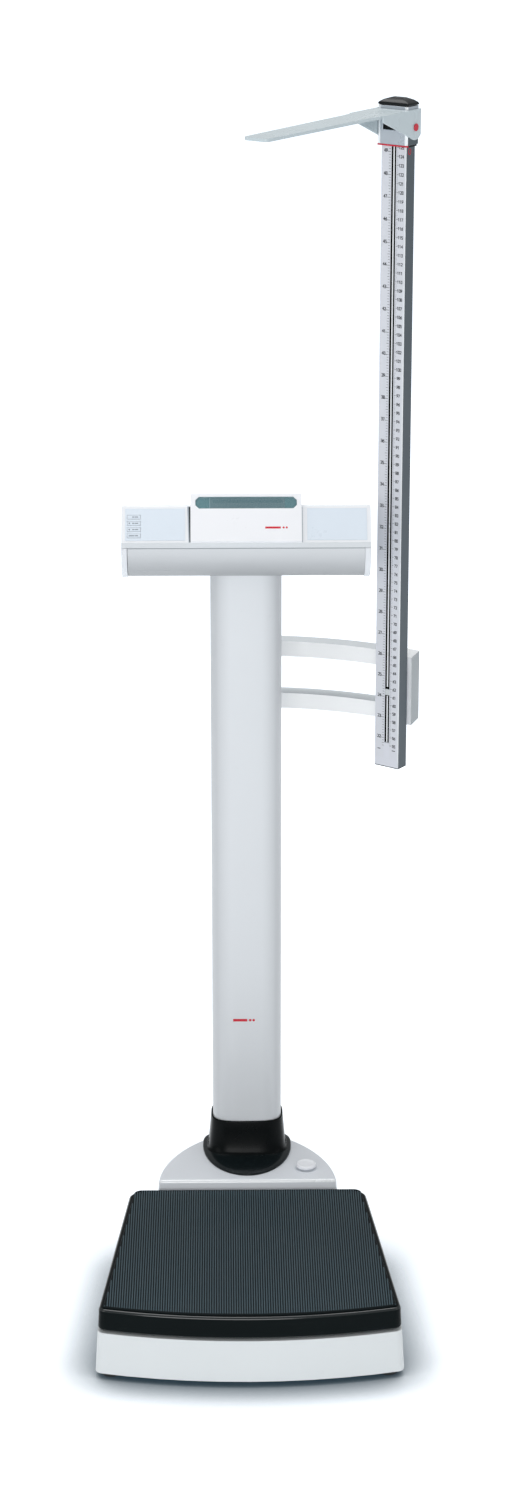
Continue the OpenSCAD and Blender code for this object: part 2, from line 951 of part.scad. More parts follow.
module scale_strip(side, tone) {
    color(tone)
    rod_frame() translate([side * (scale_x + scale_w / 2) - scale_w / 2, 0, strip_low])
        cube([scale_w, scale_t, rod_top - strip_low]);
}

module inch_scale() scale_strip(-1, "#cfd1d6");
module cm_scale() scale_strip(1, "#d6d8dc");

module slot_stop() {
    color("#e8eaec")
    rod_frame() translate([-slot_w / 2, 0, stop_z]) cube([slot_w, rib_y - 0.2, stop_h]);
}

module rod_end_cap() {
    color("#2b2f33")
    rod_frame() {
        translate([-rod_w / 2, 0, rod_bottom - end_cap_t]) cube([rod_w, rod_d, end_cap_t]);
        translate([-rod_w / 2 + rod_wall, rod_wall, rod_bottom - eps])
            cube([rod_w - 2 * rod_wall, rod_d - 2 * rod_wall, plug_h]);
    }
}

module inner_profile() {
    inner_w = rod_w - 2 * rod_wall - 2 * inner_gap;
    inner_d = rod_d - 2 * rod_wall - 2 * inner_gap;
    inner_y = rod_wall + inner_gap;
    color("#dfe1e4")
    rod_frame() translate([0, 0, inner_z0]) linear_extrude(cap_z0 - inner_z0) {
        translate([0, inner_y]) box_ring(inner_w, inner_d, inner_wall);
        translate([-rib_w / 2, rib_y]) square([rib_w, inner_y - rib_y + 0.5]);
    }
}

module rod_cap() {
    w = 2 * sleeve_half + 0.4;
    d = sleeve_rear - sleeve_front;
    color("#141619")
    rod_frame() translate([0, sleeve_front + d / 2, cap_z0]) hull() {
        linear_extrude(2.5) square([w, d], center = true);
        translate([0, 0, 4.5]) linear_extrude(1) square([w - 10, d - 6], center = true);
        translate([0, 0, cap_h - 1]) linear_extrude(1) square([w - 26, d - 14], center = true);
    }
}

// ---------- carrier and headpiece ----------

// A C-shaped section round the rod, open at the rear, between two distances from the rod
module wrap(near, far) {
    difference() {
        translate([-rod_w / 2 - far, -far]) square([rod_w + 2 * far, rod_d + 2 * far]);
        translate([-rod_w / 2 - near, -near]) square([rod_w + 2 * near, rod_d + 2 * near]);
        translate([-sleeve_opening, rod_d / 2]) square([2 * sleeve_opening, rod_d]);
    }
}

module brake_hole() {
    translate([-brake_half, sleeve_front - 1, brake_z])
        cube([2 * brake_half, 1 + sleeve_t + glide_t, brake_h]);
}

module carrier_sleeve() {
    color("#a9b1b8")
    rod_frame() difference() {
        translate([0, 0, sleeve_z0]) linear_extrude(sleeve_z1 - sleeve_z0) difference() {
            wrap(glide_gap + glide_t, glide_gap + glide_t + sleeve_t);
            translate([-50, sleeve_rear]) square([100, 10]);
        }
        brake_hole();
        for (side = [-1, 1])
            translate([side * (sleeve_half - 1), pivot_y, pivot_z]) rotate([0, 90, 0])
                cylinder(r = pin_r, h = 6, center = true);
    }
}

module carrier_glide() {
    color("#17191b")
    rod_frame() difference() {
        translate([0, 0, sleeve_z0 - glide_low]) linear_extrude(sleeve_z1 - sleeve_z0 + glide_low - 0.5)
            wrap(glide_gap, glide_gap + glide_t);
        translate([-rod_w, -10, sleeve_z0 - 10]) cube([2 * rod_w, 11, 10]);
        brake_hole();
    }
}

module reading_line() {
    color("#c8102e")
    rod_frame() translate([-sleeve_half, sleeve_front, sleeve_z0 - line_h])
        cube([2 * sleeve_half, sleeve_t, line_h]);
}

module carrier_brake() {
    color("#101214")
    rod_frame() translate([-brake_half + brake_fit, sleeve_front + 0.3, brake_z + brake_fit])
        cube([2 * (brake_half - brake_fit), sleeve_t + glide_t - 0.3, brake_h - 2 * brake_fit]);
}

module pivot_pins() {
    color("#9aa0a5")
    rod_frame() for (side = [-1, 1])
        translate([side * (sleeve_half - sleeve_t), pivot_y, pivot_z]) rotate([0, side * 90, 0])
            cylinder(r = pin_r, h = sleeve_t + cheek_gap + cheek_t + 0.3);
}

module pivot_caps() {
    color("#c8102e")
    rod_frame() for (side = [-1, 1])
        translate([side * (cheek_out + 0.3), pivot_y, pivot_z]) rotate([0, side * 90, 0])
            cylinder(r = pivot_cap_r, h = pivot_cap_t);
}

// Side view of a cheek as [y, z], round at the bottom about the pivot
module cheek_profile() {
    polygon(concat(
        [[sleeve_rear, blade_top], [cheek_front, blade_top], [cheek_front, blade_top - cheek_nose_h]],
        [for (t = [232:9:322])
            [pivot_y, pivot_z] + cheek_low * [cos(t), sin(t)]],
        [[sleeve_rear, pivot_z - 8]]));
}

module headpiece_blade() {
    color("#e9edf0")
    rod_frame() difference() {
        union() {
            for (side = [-1, 1])
                translate([side * (cheek_in + cheek_t / 2) - cheek_t / 2, 0, 0])
                    rotate([90, 0, 90]) linear_extrude(cheek_t) cheek_profile();
            translate([0, 0, blade_top - blade_t]) linear_extrude(blade_t)
                polygon(rounded([[-cheek_out, blade_root], [-cheek_out, blade_flare],
                    [-neck_half, blade_neck], [-tip_half, -blade_reach], [tip_half, -blade_reach],
                    [neck_half, blade_neck], [cheek_out, blade_flare], [cheek_out, blade_root]],
                    [0, 30, 30, 5, 5, 30, 30, 0]));
        }
        translate([-40, pivot_y, pivot_z]) rotate([0, 90, 0]) cylinder(r = pin_r + pin_fit, h = 80);
    }
}

base_housing();
base_plate();
front_left_foot();
front_right_foot();
rear_left_foot();
rear_right_foot();
left_castor_wheel();
right_castor_wheel();
castor_axles();
load_cells();
platform_tray();
rubber_mat();
rear_cover();
foot_button();
button_spring();
foot_switch();
column_socket();
column_bolts();
foot_flange();
foot_collar();
column_tube();
signal_cable();
head_bracket();
head_lower_shell();
head_upper_shell();
left_end_cap();
right_end_cap();
display_housing();
display_window();
display_module();
left_pad();
right_pad();
key_1();
key_2();
key_3();
key_4();
circuit_board();
battery_pack();
battery_door();
head_screws();
arm_saddle();
upper_arm();
lower_arm();
rod_block();
bracket_screws();
rod_profile();
inch_scale();
cm_scale();
slot_stop();
rod_end_cap();
inner_profile();
rod_cap();
carrier_sleeve();
carrier_glide();
reading_line();
carrier_brake();
pivot_pins();
headpiece_blade();
pivot_caps();
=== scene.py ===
"""Looks for the column scale: studio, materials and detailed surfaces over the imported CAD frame."""
import math

import bpy
from mathutils import Matrix, Vector


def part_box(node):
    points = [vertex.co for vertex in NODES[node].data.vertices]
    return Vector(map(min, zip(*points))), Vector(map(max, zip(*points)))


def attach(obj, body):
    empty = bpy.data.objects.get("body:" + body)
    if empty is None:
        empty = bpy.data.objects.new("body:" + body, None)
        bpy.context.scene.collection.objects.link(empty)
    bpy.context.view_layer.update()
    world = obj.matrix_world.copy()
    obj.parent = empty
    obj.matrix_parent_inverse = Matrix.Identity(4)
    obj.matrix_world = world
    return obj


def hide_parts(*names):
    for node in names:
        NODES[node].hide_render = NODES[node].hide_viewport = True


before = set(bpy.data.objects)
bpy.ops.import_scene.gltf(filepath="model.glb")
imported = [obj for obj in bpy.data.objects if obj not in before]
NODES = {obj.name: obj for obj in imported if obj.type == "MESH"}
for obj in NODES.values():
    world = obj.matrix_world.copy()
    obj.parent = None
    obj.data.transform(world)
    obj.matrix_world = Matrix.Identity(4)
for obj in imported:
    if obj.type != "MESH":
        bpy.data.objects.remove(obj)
SCENE = bpy.context.scene
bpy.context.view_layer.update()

# The measuring rod's own frame: z up, its front towards -y, turned towards the column
ROD_AT = Matrix.Translation((0.165, 0.254, 0)) @ Matrix.Rotation(math.radians(-36), 4, "Z")


def sind(angle):
    return math.sin(math.radians(angle))


def cosd(angle):
    return math.cos(math.radians(angle))


# ---------------------------------------------------------------- materials


def link(tree, a, b):
    tree.links.new(a, b)


def node(tree, kind, **values):
    made = tree.nodes.new(kind)
    for key, value in values.items():
        setattr(made, key, value)
    return made


def noise(tree, coords, scale, detail=4.0, rough=0.55, stretch=(1, 1, 1)):
    mapping = node(tree, "ShaderNodeMapping")
    mapping.inputs["Scale"].default_value = stretch
    link(tree, coords, mapping.inputs["Vector"])
    made = node(tree, "ShaderNodeTexNoise")
    made.inputs["Scale"].default_value = scale
    made.inputs["Detail"].default_value = detail
    made.inputs["Roughness"].default_value = rough
    link(tree, mapping.outputs["Vector"], made.inputs["Vector"])
    return made.outputs["Fac"]


def ranged(tree, value, low, high, from_low=0.3, from_high=0.7):
    made = node(tree, "ShaderNodeMapRange")
    made.inputs["From Min"].default_value = from_low
    made.inputs["From Max"].default_value = from_high
    made.inputs["To Min"].default_value = low
    made.inputs["To Max"].default_value = high
    link(tree, value, made.inputs["Value"])
    return made.outputs["Result"]


def mixed(tree, factor, a, b):
    made = node(tree, "ShaderNodeMix", data_type="RGBA")
    for socket, value in ((made.inputs[0], factor), (made.inputs[6], a), (made.inputs[7], b)):
        if isinstance(value, (tuple, list, float, int)):
            socket.default_value = value
        else:
            link(tree, value, socket)
    return made.outputs[2]


def calc(tree, operation, *values):
    """A math node on sockets and plain numbers."""
    made = node(tree, "ShaderNodeMath", operation=operation)
    for socket, value in zip(made.inputs, values):
        if isinstance(value, (int, float)):
            socket.default_value = value
        else:
            link(tree, value, socket)
    return made.outputs[0]


def shade(color, k):
    return tuple(min(1.0, max(0.0, c * k)) for c in color) + (1.0,)


def srgb(text):
    """A hex colour as linear values."""
    parts = [int(text[i:i + 2], 16) / 255 for i in (1, 3, 5)]
    return tuple(c / 12.92 if c < 0.04045 else ((c + 0.055) / 1.055) ** 2.4 for c in parts)


GRAIN_DEPTH = 0.00004
WORN_PALE, WORN_DARK = 0.86, 1.7  # worn spots are darker on a pale colour and lighter on a dark one


def material(name, color, rough, metal, vary, patch, grain, bump,
             stretch=(1, 1, 1), wear=0.25, coat=0.0, spec=0.5, spread=0.05):
    """A procedural surface: patchy colour, fine grain as bump, smudged roughness and worn spots.

    vary is how far the colour changes from patch to patch, patch and grain are noise scales,
    stretch draws the grain out, and spread is how far the roughness changes.
    """
    if isinstance(color, str):
        color = srgb(color)
    made = bpy.data.materials.new(name)
    made.use_nodes = True
    tree = made.node_tree
    shader = tree.nodes["Principled BSDF"]
    coords = node(tree, "ShaderNodeTexCoord").outputs["Object"]
    patches = noise(tree, coords, patch, 5.0)
    tone = mixed(tree, ranged(tree, patches, 0.0, 1.0),
                 shade(color, 1 - vary), shade(color, 1 + vary))
    specks = noise(tree, coords, 90.0, 8.0, 0.7)
    worn = ranged(tree, specks, 0.0, wear, 0.62, 0.74)
    tone = mixed(tree, worn, tone, shade(color, WORN_PALE if sum(color) > 0.9 else WORN_DARK))
    link(tree, tone, shader.inputs["Base Color"])
    smudge = noise(tree, coords, 18.0, 6.0, 0.65)
    roughness = ranged(tree, smudge, max(rough - spread, 0.02), rough + spread)
    link(tree, roughness, shader.inputs["Roughness"])
    shader.inputs["Metallic"].default_value = metal
    shader.inputs["Specular IOR Level"].default_value = spec
    if coat:
        shader.inputs["Coat Weight"].default_value = coat
        shader.inputs["Coat Roughness"].default_value = 0.12
    fine = noise(tree, coords, grain, 3.0, 0.6, stretch)
    dent = node(tree, "ShaderNodeBump")
    dent.inputs["Strength"].default_value = bump
    dent.inputs["Distance"].default_value = GRAIN_DEPTH
    link(tree, fine, dent.inputs["Height"])
    link(tree, dent.outputs["Normal"], shader.inputs["Normal"])
    return made


def graded(made, coordinate, axis, low, high, at_low, at_high, both_ways=False):
    """Scales a material's colour along one axis of the object's coordinates or of its normal."""
    tree = made.node_tree
    shader = tree.nodes["Principled BSDF"]
    tone = shader.inputs["Base Color"].links[0].from_socket
    split = node(tree, "ShaderNodeSeparateXYZ")
    link(tree, node(tree, "ShaderNodeTexCoord").outputs[coordinate], split.inputs["Vector"])
    value = split.outputs[axis]
    if both_ways:
        value = calc(tree, "ABSOLUTE", value)
    scaled = node(tree, "ShaderNodeVectorMath", operation="SCALE")
    link(tree, tone, scaled.inputs[0])
    link(tree, ranged(tree, value, at_low, at_high, low, high), scaled.inputs["Scale"])
    link(tree, scaled.outputs[0], shader.inputs["Base Color"])


def glass(name, color, rough, alpha):
    """A tinted pane: mostly clear, with a coloured film and faint smudges."""
    made = material(name, color, rough, 0.0, 0.05, 20.0, 300.0, 0.02, wear=0.05, spread=0.03)
    made.node_tree.nodes["Principled BSDF"].inputs["Alpha"].default_value = alpha
    return made


# Grain drawn out along the height: painted column, extruded rod, small parts
DRAWN, EXTRUDED, BRUSHED = (1, 1, 0.08), (1, 1, 0.04), (1, 1, 0.1)

# After the name and colour: rough, metal, vary, patch, grain, bump
COLUMN = material("column_paint", "#dde0e3", 0.34, 0.1, 0.015, 3.0, 900, 0.10, DRAWN)
BASE = material("base_plastic", "#d8dcdd", 0.32, 0.0, 0.012, 5.0, 1200, 0.12)
COVER = material("cover_plastic", "#e0e4e9", 0.36, 0.0, 0.012, 6.0, 1200, 0.12)
BUTTON = material("button_plastic", "#eff1f5", 0.33, 0.0, 0.012, 12.0, 1200, 0.1)
TRAY = material("tray_lacquer", "#0a1112", 0.16, 0.0, 0.10, 6.0, 900, 0.04, wear=0.3, spec=0.06)
TRAY_EDGE = material("tray_polished_edge", "#101819", 0.12, 0.0, 0.10, 6.0,
                     900, 0.03, wear=0.3, coat=0.30)
MAT = material("mat_rubber", "#394f58", 0.33, 0.0, 0.06, 9.0,
               1500, 0.08, wear=0.3, spec=0.52, spread=0.05)
# Painted shade: a darker copy of the mat's rubber for the valleys between the ribs and the slab's
# sides
MAT_VALLEY_SHADE = material("mat_painted_valley_shade", "#0f1618", 0.5, 0.0, 0.1, 9.0, 1500, 0.3, wear=0.3, spec=0.1)
FLANGE = material("flange_plastic", "#12191b", 0.24, 0.0, 0.10, 10.0, 1300, 0.10,
                  wear=0.3, spec=0.22)
COLLAR = material("collar_plastic", "#05090a", 0.26, 0.0, 0.10, 10.0, 1300, 0.06,
                  wear=0.3, spec=0.10)
# Painted shade: a near-black for the rod's slot, its walls, the rib's sides and the sheets behind it
PAINTED_PIT_SHADE = material("painted_pit_shade", "#020303", 0.7, 0.0, 0.02, 30.0, 900, 0.1, wear=0.0, spec=0.02)
BLACK = material("black_plastic", "#090e0f", 0.24, 0.0, 0.10, 10.0, 1300, 0.12, wear=0.3, spec=0.12)
CAP_BLACK = material("cap_plastic", "#0d1113", 0.16, 0.0, 0.10, 14.0, 900, 0.08,
                     wear=0.3, spec=0.25)
HEAD = material("head_plastic", "#eceef1", 0.34, 0.0, 0.010, 7.0, 1300, 0.12)
BELLY = material("belly_plastic", "#d2d5d8", 0.38, 0.0, 0.012, 7.0, 1300, 0.12)
ENDS = material("end_cap_plastic", "#e2e5e9", 0.38, 0.0, 0.012, 9.0, 1300, 0.12)
# Painted shade: a greyer copy of the head plastic for its front-facing strip
NOSE_SHADE = material("nose_painted_shade", "#d6dadd", 0.36, 0.0, 0.010, 7.0, 1300, 0.12)
SPLIT = material("split_shade", "#9aa1a6", 0.5, 0.0, 0.02, 30.0, 900, 0.1)
UNIT = material("unit_plastic", "#f0f1f4", 0.32, 0.0, 0.010, 8.0, 1300, 0.12)
PAD = material("pad_film", "#dce5ee", 0.30, 0.0, 0.012, 12.0, 1600, 0.15)
KEY = material("key_film", "#dae3ec", 0.30, 0.0, 0.012, 20.0, 1600, 0.15)
PRINT = material("black_print", "#23282d", 0.45, 0.0, 0.15, 60.0, 2000, 0.2)
GREY_PRINT = material("grey_print", "#8b939c", 0.45, 0.0, 0.1, 60.0, 2000, 0.2)
RED = material("red_plastic", "#c3132f", 0.25, 0.0, 0.05, 40.0, 1500, 0.1)
RED_PRINT = material("red_print", "#cf2236", 0.4, 0.0, 0.06, 60.0, 2000, 0.2)
ROD = material("rod_aluminium", "#d6d8df", 0.36, 0.2, 0.02, 4.0, 900, 0.25, EXTRUDED)
ROD_SIDE = material("rod_side", "#515a60", 0.38, 0.3, 0.04, 5.0, 900, 0.25, EXTRUDED)
STRIP = material("scale_strip", "#d4d6dc", 0.42, 0.05, 0.015, 8.0, 1500, 0.1)
RIB = material("inner_aluminium", "#e6e8ea", 0.30, 0.25, 0.02, 5.0, 900, 0.2, EXTRUDED)
SLEEVE = material("sleeve_alloy", "#b1b8bf", 0.30, 0.35, 0.03, 14.0, 900, 0.2, BRUSHED)
BLADE = material("blade_plastic", "#c3ced2", 0.27, 0.0, 0.015, 10.0, 1300, 0.1, wear=0.06)
# Painted shade: a darker copy of the sleeve alloy for its right side below the window's top
SLEEVE_SIDE_SHADE = material("sleeve_side_painted_shade", "#4a5459", 0.33, 0.2, 0.03, 14.0, 900, 0.2, BRUSHED)
# Painted highlight: near-white on rounded edges and lips where light would glint
PAINTED_HIGHLIGHT = material("painted_highlight", "#f1f4f6", 0.25, 0.1, 0.02, 14.0, 900, 0.1)
# Painted shadow: the dark wedge left of the display housing
HOUSING_SHADOW = material("housing_painted_shadow", "#2f363a", 0.5, 0.0, 0.05, 30.0, 900, 0.1)
SOFT_LINE = material("soft_line", "#aab2b9", 0.4, 0.0, 0.03, 30.0, 900, 0.1)
ARM = material("arm_paint", "#fafbfb", 0.33, 0.0, 0.010, 8.0, 1100, 0.15)
# Painted shade: a greyer copy of the arm paint for the arms' top faces
ARM_TOP_SHADE = material("arm_top_painted_shade", "#d3d8db", 0.36, 0.0, 0.012, 8.0, 1100, 0.15)
BLOCK = material("block_paint", "#f4f6f7", 0.36, 0.1, 0.015, 12.0, 1100, 0.15)
# Painted shade: a darker copy of the block paint for the block's right side
BLOCK_SIDE_SHADE = material("block_side_painted_shade", "#9da3a6", 0.36, 0.1, 0.015, 12.0, 1100, 0.15)
STEEL = material("steel", "#9a9fa4", 0.28, 0.85, 0.04, 30.0, 900, 0.15)
DARK_STEEL = material("dark_steel", "#5c6165", 0.35, 0.7, 0.05, 30.0, 900, 0.2)
PLATE = material("plate_paint", "#8d9296", 0.45, 0.2, 0.04, 12.0, 800, 0.3)
RUBBER = material("foot_rubber", "#141617", 0.6, 0.0, 0.12, 25.0, 1200, 0.5, wear=0.5)
CASTOR = material("castor_rubber", "#232527", 0.5, 0.0, 0.12, 25.0, 1200, 0.5, wear=0.5)
BOARD = material("board_laminate", "#2c6544", 0.35, 0.0, 0.08, 40.0, 900, 0.2)
PANE = glass("window_pane", "#7ba3aa", 0.05, 0.42)
LCD = material("lcd_film", "#6c7077", 0.2, 0.0, 0.03, 20.0, 1500, 0.05)
LCD_BAND = material("lcd_band", "#555b64", 0.25, 0.0, 0.03, 20.0, 1500, 0.05)
LCD_DARK = material("lcd_surround", "#5b7f83", 0.3, 0.0, 0.04, 20.0, 1200, 0.1)
STOP = glass("clear_stop", "#e9eef0", 0.05, 0.6)
graded(COLUMN, "Normal", "X", 0.10, 0.62, 1.0, 0.80, both_ways=True)  # painted shade: darker where the surface turns aside to the left or right
graded(BELLY, "Object", "Z", 0.836, 0.874, 0.46, 1.0)  # painted shade: darker towards the bottom of the belly

# ---------------------------------------------------------------- building


def build(name, verts, faces, mat, body, replaces=(), place=None, sharp=32.0):
    """A mesh piece that rides on a CAD body."""
    if place is not None:
        verts = [place @ Vector(v) for v in verts]
    mesh = bpy.data.meshes.new(name)
    mesh.from_pydata([tuple(v) for v in verts], [], faces)
    mesh.validate()
    mesh.update()
    mesh.shade_smooth()
    mesh.set_sharp_from_angle(angle=math.radians(sharp))
    made = bpy.data.objects.new(name, mesh)
    made.data.materials.append(mat)
    SCENE.collection.objects.link(made)
    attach(made, body)
    if replaces:
        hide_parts(*replaces)
        for item in replaces:
            NODES[item].hide_render = True
            NODES[item].hide_viewport = True
    return made


WELD_WITHIN = 0.00001
FLAT_WITHIN, SMOOTH_BELOW = 0.6, 30.0  # degrees


def bevelled(obj, width, segments=3, angle=35.0):
    cut = obj.modifiers.new("edges", "BEVEL")
    cut.width = width
    cut.segments = segments
    cut.limit_method = "ANGLE"
    cut.angle_limit = math.radians(angle)
    cut.use_clamp_overlap = True
    level = obj.modifiers.new("normals", "WEIGHTED_NORMAL")
    level.keep_sharp = True
    return obj


def dress(name, mat, width=0.0, segments=2, angle=35.0):
    """Gives a CAD node its material, clean smooth shading and softened edges."""
    obj = NODES[name]
    mesh = obj.data
    if "custom_normal" in mesh.attributes:
        mesh.attributes.remove(mesh.attributes["custom_normal"])
    mesh.materials.clear()
    mesh.materials.append(mat)
    mesh.shade_smooth()
    if width:
        weld = obj.modifiers.new("weld", "WELD")
        weld.merge_threshold = WELD_WITHIN
        flat = obj.modifiers.new("flat", "DECIMATE")
        flat.decimate_type = "DISSOLVE"
        flat.angle_limit = math.radians(FLAT_WITHIN)
        bevelled(obj, width, segments, angle)
    else:
        mesh.set_sharp_from_angle(angle=math.radians(SMOOTH_BELOW))
    return obj


def paint(name, mat, test, frame_at=ROD_AT):
    """A second material on the faces of a CAD node whose centre and normal pass a test."""
    obj = NODES[name]
    back = frame_at.inverted() @ obj.matrix_world
    turn = back.to_3x3()
    obj.data.materials.append(mat)
    index = len(obj.data.materials) - 1
    for face in obj.data.polygons:
        if test(back @ face.center, turn @ face.normal):
            face.material_index = index
    for part in obj.modifiers:
        if part.type == "DECIMATE":
            part.delimit = {"NORMAL", "MATERIAL"}


def loft(rings, caps=(True, True)):
    """Faces between closed rings of equal length, with flat ends."""
    n = len(rings[0])
    verts = [tuple(p) for ring in rings for p in ring]
    faces = []
    for k in range(len(rings) - 1):
        for i in range(n):
            j = (i + 1) % n
            faces.append((k * n + i, k * n + j, (k + 1) * n + j, (k + 1) * n + i))
    if caps[0]:
        faces.append(tuple(range(n - 1, -1, -1)))
    if caps[1]:
        faces.append(tuple(range((len(rings) - 1) * n, len(rings) * n)))
    return verts, faces


def box_mesh(low, high):
    (a, b, c), (d, e, f) = low, high
    verts = [(a, b, c), (d, b, c), (d, e, c), (a, e, c), (a, b, f), (d, b, f), (d, e, f), (a, e, f)]
    faces = [(3, 2, 1, 0), (4, 5, 6, 7), (0, 1, 5, 4), (1, 2, 6, 5), (2, 3, 7, 6), (3, 0, 4, 7)]
    return verts, faces


def joined(parts):
    """Several (verts, faces) as one."""
    verts, faces = [], []
    for some, these in parts:
        start = len(verts)
        verts += some
        faces += [tuple(start + i for i in face) for face in these]
    return verts, faces


def super_ring(a, b, power, centre, z):
    """A closed superellipse of half width a and half depth b."""
    ring, count = [], 128
    for i in range(count):
        t = 2 * math.pi * i / count
        c, s = math.cos(t), math.sin(t)
        ring.append((centre[0] + a * math.copysign(abs(c) ** (2 / power), c),
                     centre[1] + b * math.copysign(abs(s) ** (2 / power), s), z))
    return ring


# ---------------------------------------------------------------- platform

mat_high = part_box("rubber_mat")[1]
tray_low, tray_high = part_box("platform_tray")
# The outline: a trapezoid with a bowed front
FRONT_W, REAR_W, BOW = 0.342, 0.283, 0.022
FRONT_Y, REAR_Y = tray_low.y, tray_high.y
CORNER_Y = FRONT_Y + BOW
SIDE = (FRONT_W - REAR_W) / 2 / (REAR_Y - CORNER_Y)
BOW_R = ((FRONT_W / 2) ** 2 + BOW ** 2) / (2 * BOW)


def half_width(y, inset):
    """Half the outline's width at y, with its slanted sides moved in."""
    return FRONT_W / 2 - SIDE * (y - CORNER_Y) - inset * math.sqrt(1 + SIDE * SIDE)


def bow_y(x, inset):
    """The bowed front edge at x, moved in."""
    return FRONT_Y + inset + BOW_R - math.sqrt(BOW_R ** 2 - x * x)


def fillet(a, b, c, r, steps):
    """Points of the round corner at b between the sides to a and c."""
    a, b, c = Vector(a), Vector(b), Vector(c)
    u, v = (a - b).normalized(), (c - b).normalized()
    half = u.angle(v) / 2
    centre = b + (u + v).normalized() * r / math.sin(half)
    first, last = b + u * r / math.tan(half) - centre, b + v * r / math.tan(half) - centre
    made = []
    for i in range(steps + 1):
        way = first.lerp(last, i / steps).normalized() * r
        made.append(tuple(centre + way))
    return made


def platform_ring(inset, z, front_r=0.009, rear_r=0.016, rear_inset=None):
    """The platform's outline as a closed ring, always with the same number of points."""
    yf, yr = CORNER_Y + inset, REAR_Y - (inset if rear_inset is None else rear_inset)
    front, rear = half_width(yf, inset), half_width(yr, inset)
    steps, corner = 32, 8
    bow = []
    for i in range(1, steps):
        x = front * (2 * i / steps - 1)
        bow.append((x, bow_y(x, inset)))
    low = bow_y(front, inset)
    ring = fillet((-rear, yr), (-front, low), bow[0], front_r, corner)
    ring += [p for p in bow if abs(p[0]) < front - front_r * 0.9]
    ring += fillet(bow[-1], (front, low), (rear, yr), front_r, corner)
    r = max(rear_r - inset, 0.003)
    ring += fillet((front, low), (rear, yr), (-rear, yr), r, corner)
    ring += fillet((rear, yr), (-rear, yr), (-front, low), r, corner)
    return [(x, y, z) for x, y in ring]


TRAY_BOTTOM, TRAY_TOP, MAT_TOP = tray_low.z, tray_high.z, mat_high.z
FOOT_R, RIM_R = 0.0032, 0.0036  # the tray's rounding at its foot and at its rim
WALL_IN, WALL_STEP, WALL_UP = 0.0009, 0.0003, 0.0052  # how far the wall leans in, over three steps


def tray_ring(inset, z):
    return platform_ring(inset, z, max(0.011 - inset, 0.003))


levels = [(FOOT_R, TRAY_BOTTOM)]
levels += [(FOOT_R - FOOT_R * sind(t), TRAY_BOTTOM + FOOT_R * (1 - cosd(t)))
           for t in (20, 40, 60, 75, 90)]
levels += [(WALL_STEP * k, TRAY_BOTTOM + FOOT_R + WALL_UP * k) for k in (1, 2, 3)]
levels += [(WALL_IN + RIM_R * (1 - cosd(t)), TRAY_TOP - RIM_R + RIM_R * sind(t))
           for t in (0, 18, 36, 54, 72, 90)]
shell = [tray_ring(i, z) for i, z in levels]
shell += [platform_ring(i, z, 0.005, 0.016, r) for i, z, r in
          ((0.0058, TRAY_TOP, 0.0042), (0.0060, TRAY_TOP - 0.0004, 0.0043),
           (0.0061, TRAY_TOP - 0.0020, 0.0043))]
verts, faces = loft(shell)
tray = build("tray_shell", verts, faces, TRAY, "stand", ["platform_tray"])
tray.data.materials.append(TRAY_EDGE)  # on both roundings, not on the wall or the top
for face in tray.data.polygons:
    if 0.20 < face.normal.z < 0.93 or -0.97 < face.normal.z < -0.25:
        face.material_index = 1

# The mat: a slab with a plain rounded border and ribs that run from front to rear
MARGIN = 0.0062  # from the tray's outline to the mat's
BORDER = 0.0016  # the plain edge around the ribs
RIB_PITCH, RIB_W, RIB_H, RIB_LEAST = 0.00275, 0.00160, 0.0010, 0.006


def mat_ring(inset, z):
    return platform_ring(MARGIN + inset, z, 0.0032, 0.016, REAR_Y - mat_high.y + min(inset, 0.0012))


slab = loft([mat_ring(inset, z) for inset, z in (
    (0.0, TRAY_TOP - 0.0019), (0.0, MAT_TOP - 0.0009), (0.0003, MAT_TOP - 0.0003),
    (0.0010, MAT_TOP), (BORDER - 0.0006, MAT_TOP), (BORDER, MAT_TOP - RIB_H))])
ribs = []
count = int(half_width(CORNER_Y, MARGIN + BORDER) / RIB_PITCH)
for k in range(-count, count + 1):
    x = k * RIB_PITCH
    inset = MARGIN + BORDER - 0.0002
    y0 = bow_y(x, inset)
    side_y = CORNER_Y + (FRONT_W / 2 - inset * math.sqrt(1 + SIDE ** 2) - abs(x)) / SIDE
    y1 = min(mat_high.y - 0.0008, side_y)
    if abs(x) > half_width(mat_high.y, inset) - 0.007:  # near the round rear corners
        y1 = min(y1, mat_high.y - 0.0050)
    if y1 - y0 < RIB_LEAST:
        continue
    low, mid, top = MAT_TOP - RIB_H - 0.0002, MAT_TOP - 0.00025, MAT_TOP
    section = [(-RIB_W / 2, low), (-RIB_W * 0.36, mid), (-RIB_W * 0.17, top), (RIB_W * 0.17, top),
               (RIB_W * 0.36, mid), (RIB_W / 2, low)]
    verts = [(x + dx, y, z) for y in (y0, y1) for dx, z in section]
    n = len(section)
    faces = [(i, i + 1, n + i + 1, n + i) for i in range(n - 1)]
    faces += [tuple(range(n - 1, -1, -1)), tuple(range(n, 2 * n))]
    ribs.append((verts, faces))
verts, faces = slab
slab_piece = build("mat_slab", verts, faces, MAT_VALLEY_SHADE, "stand", ["rubber_mat"],
                   sharp=60)
slab_piece.data.materials.append(MAT)  # on the top of the border; the valleys and the slab's sides keep a dark painted shade
for face in slab_piece.data.polygons:
    if len(face.vertices) == 4 and face.normal.z > 0.95 and face.center.z > MAT_TOP - 0.0004:
        face.material_index = 1
verts, faces = joined(ribs)
build("mat_ribs", verts, faces, MAT, "stand", (), sharp=60)

dress("base_housing", BASE, 0.0016, 3)
dress("base_plate", PLATE, 0.0003)
dress("load_cells", STEEL)
for name in ("front_left_foot", "front_right_foot", "rear_left_foot", "rear_right_foot"):
    dress(name, RUBBER, 0.0008)
dress("left_castor_wheel", CASTOR, 0.0008)
dress("right_castor_wheel", CASTOR, 0.0008)
dress("castor_axles", STEEL)

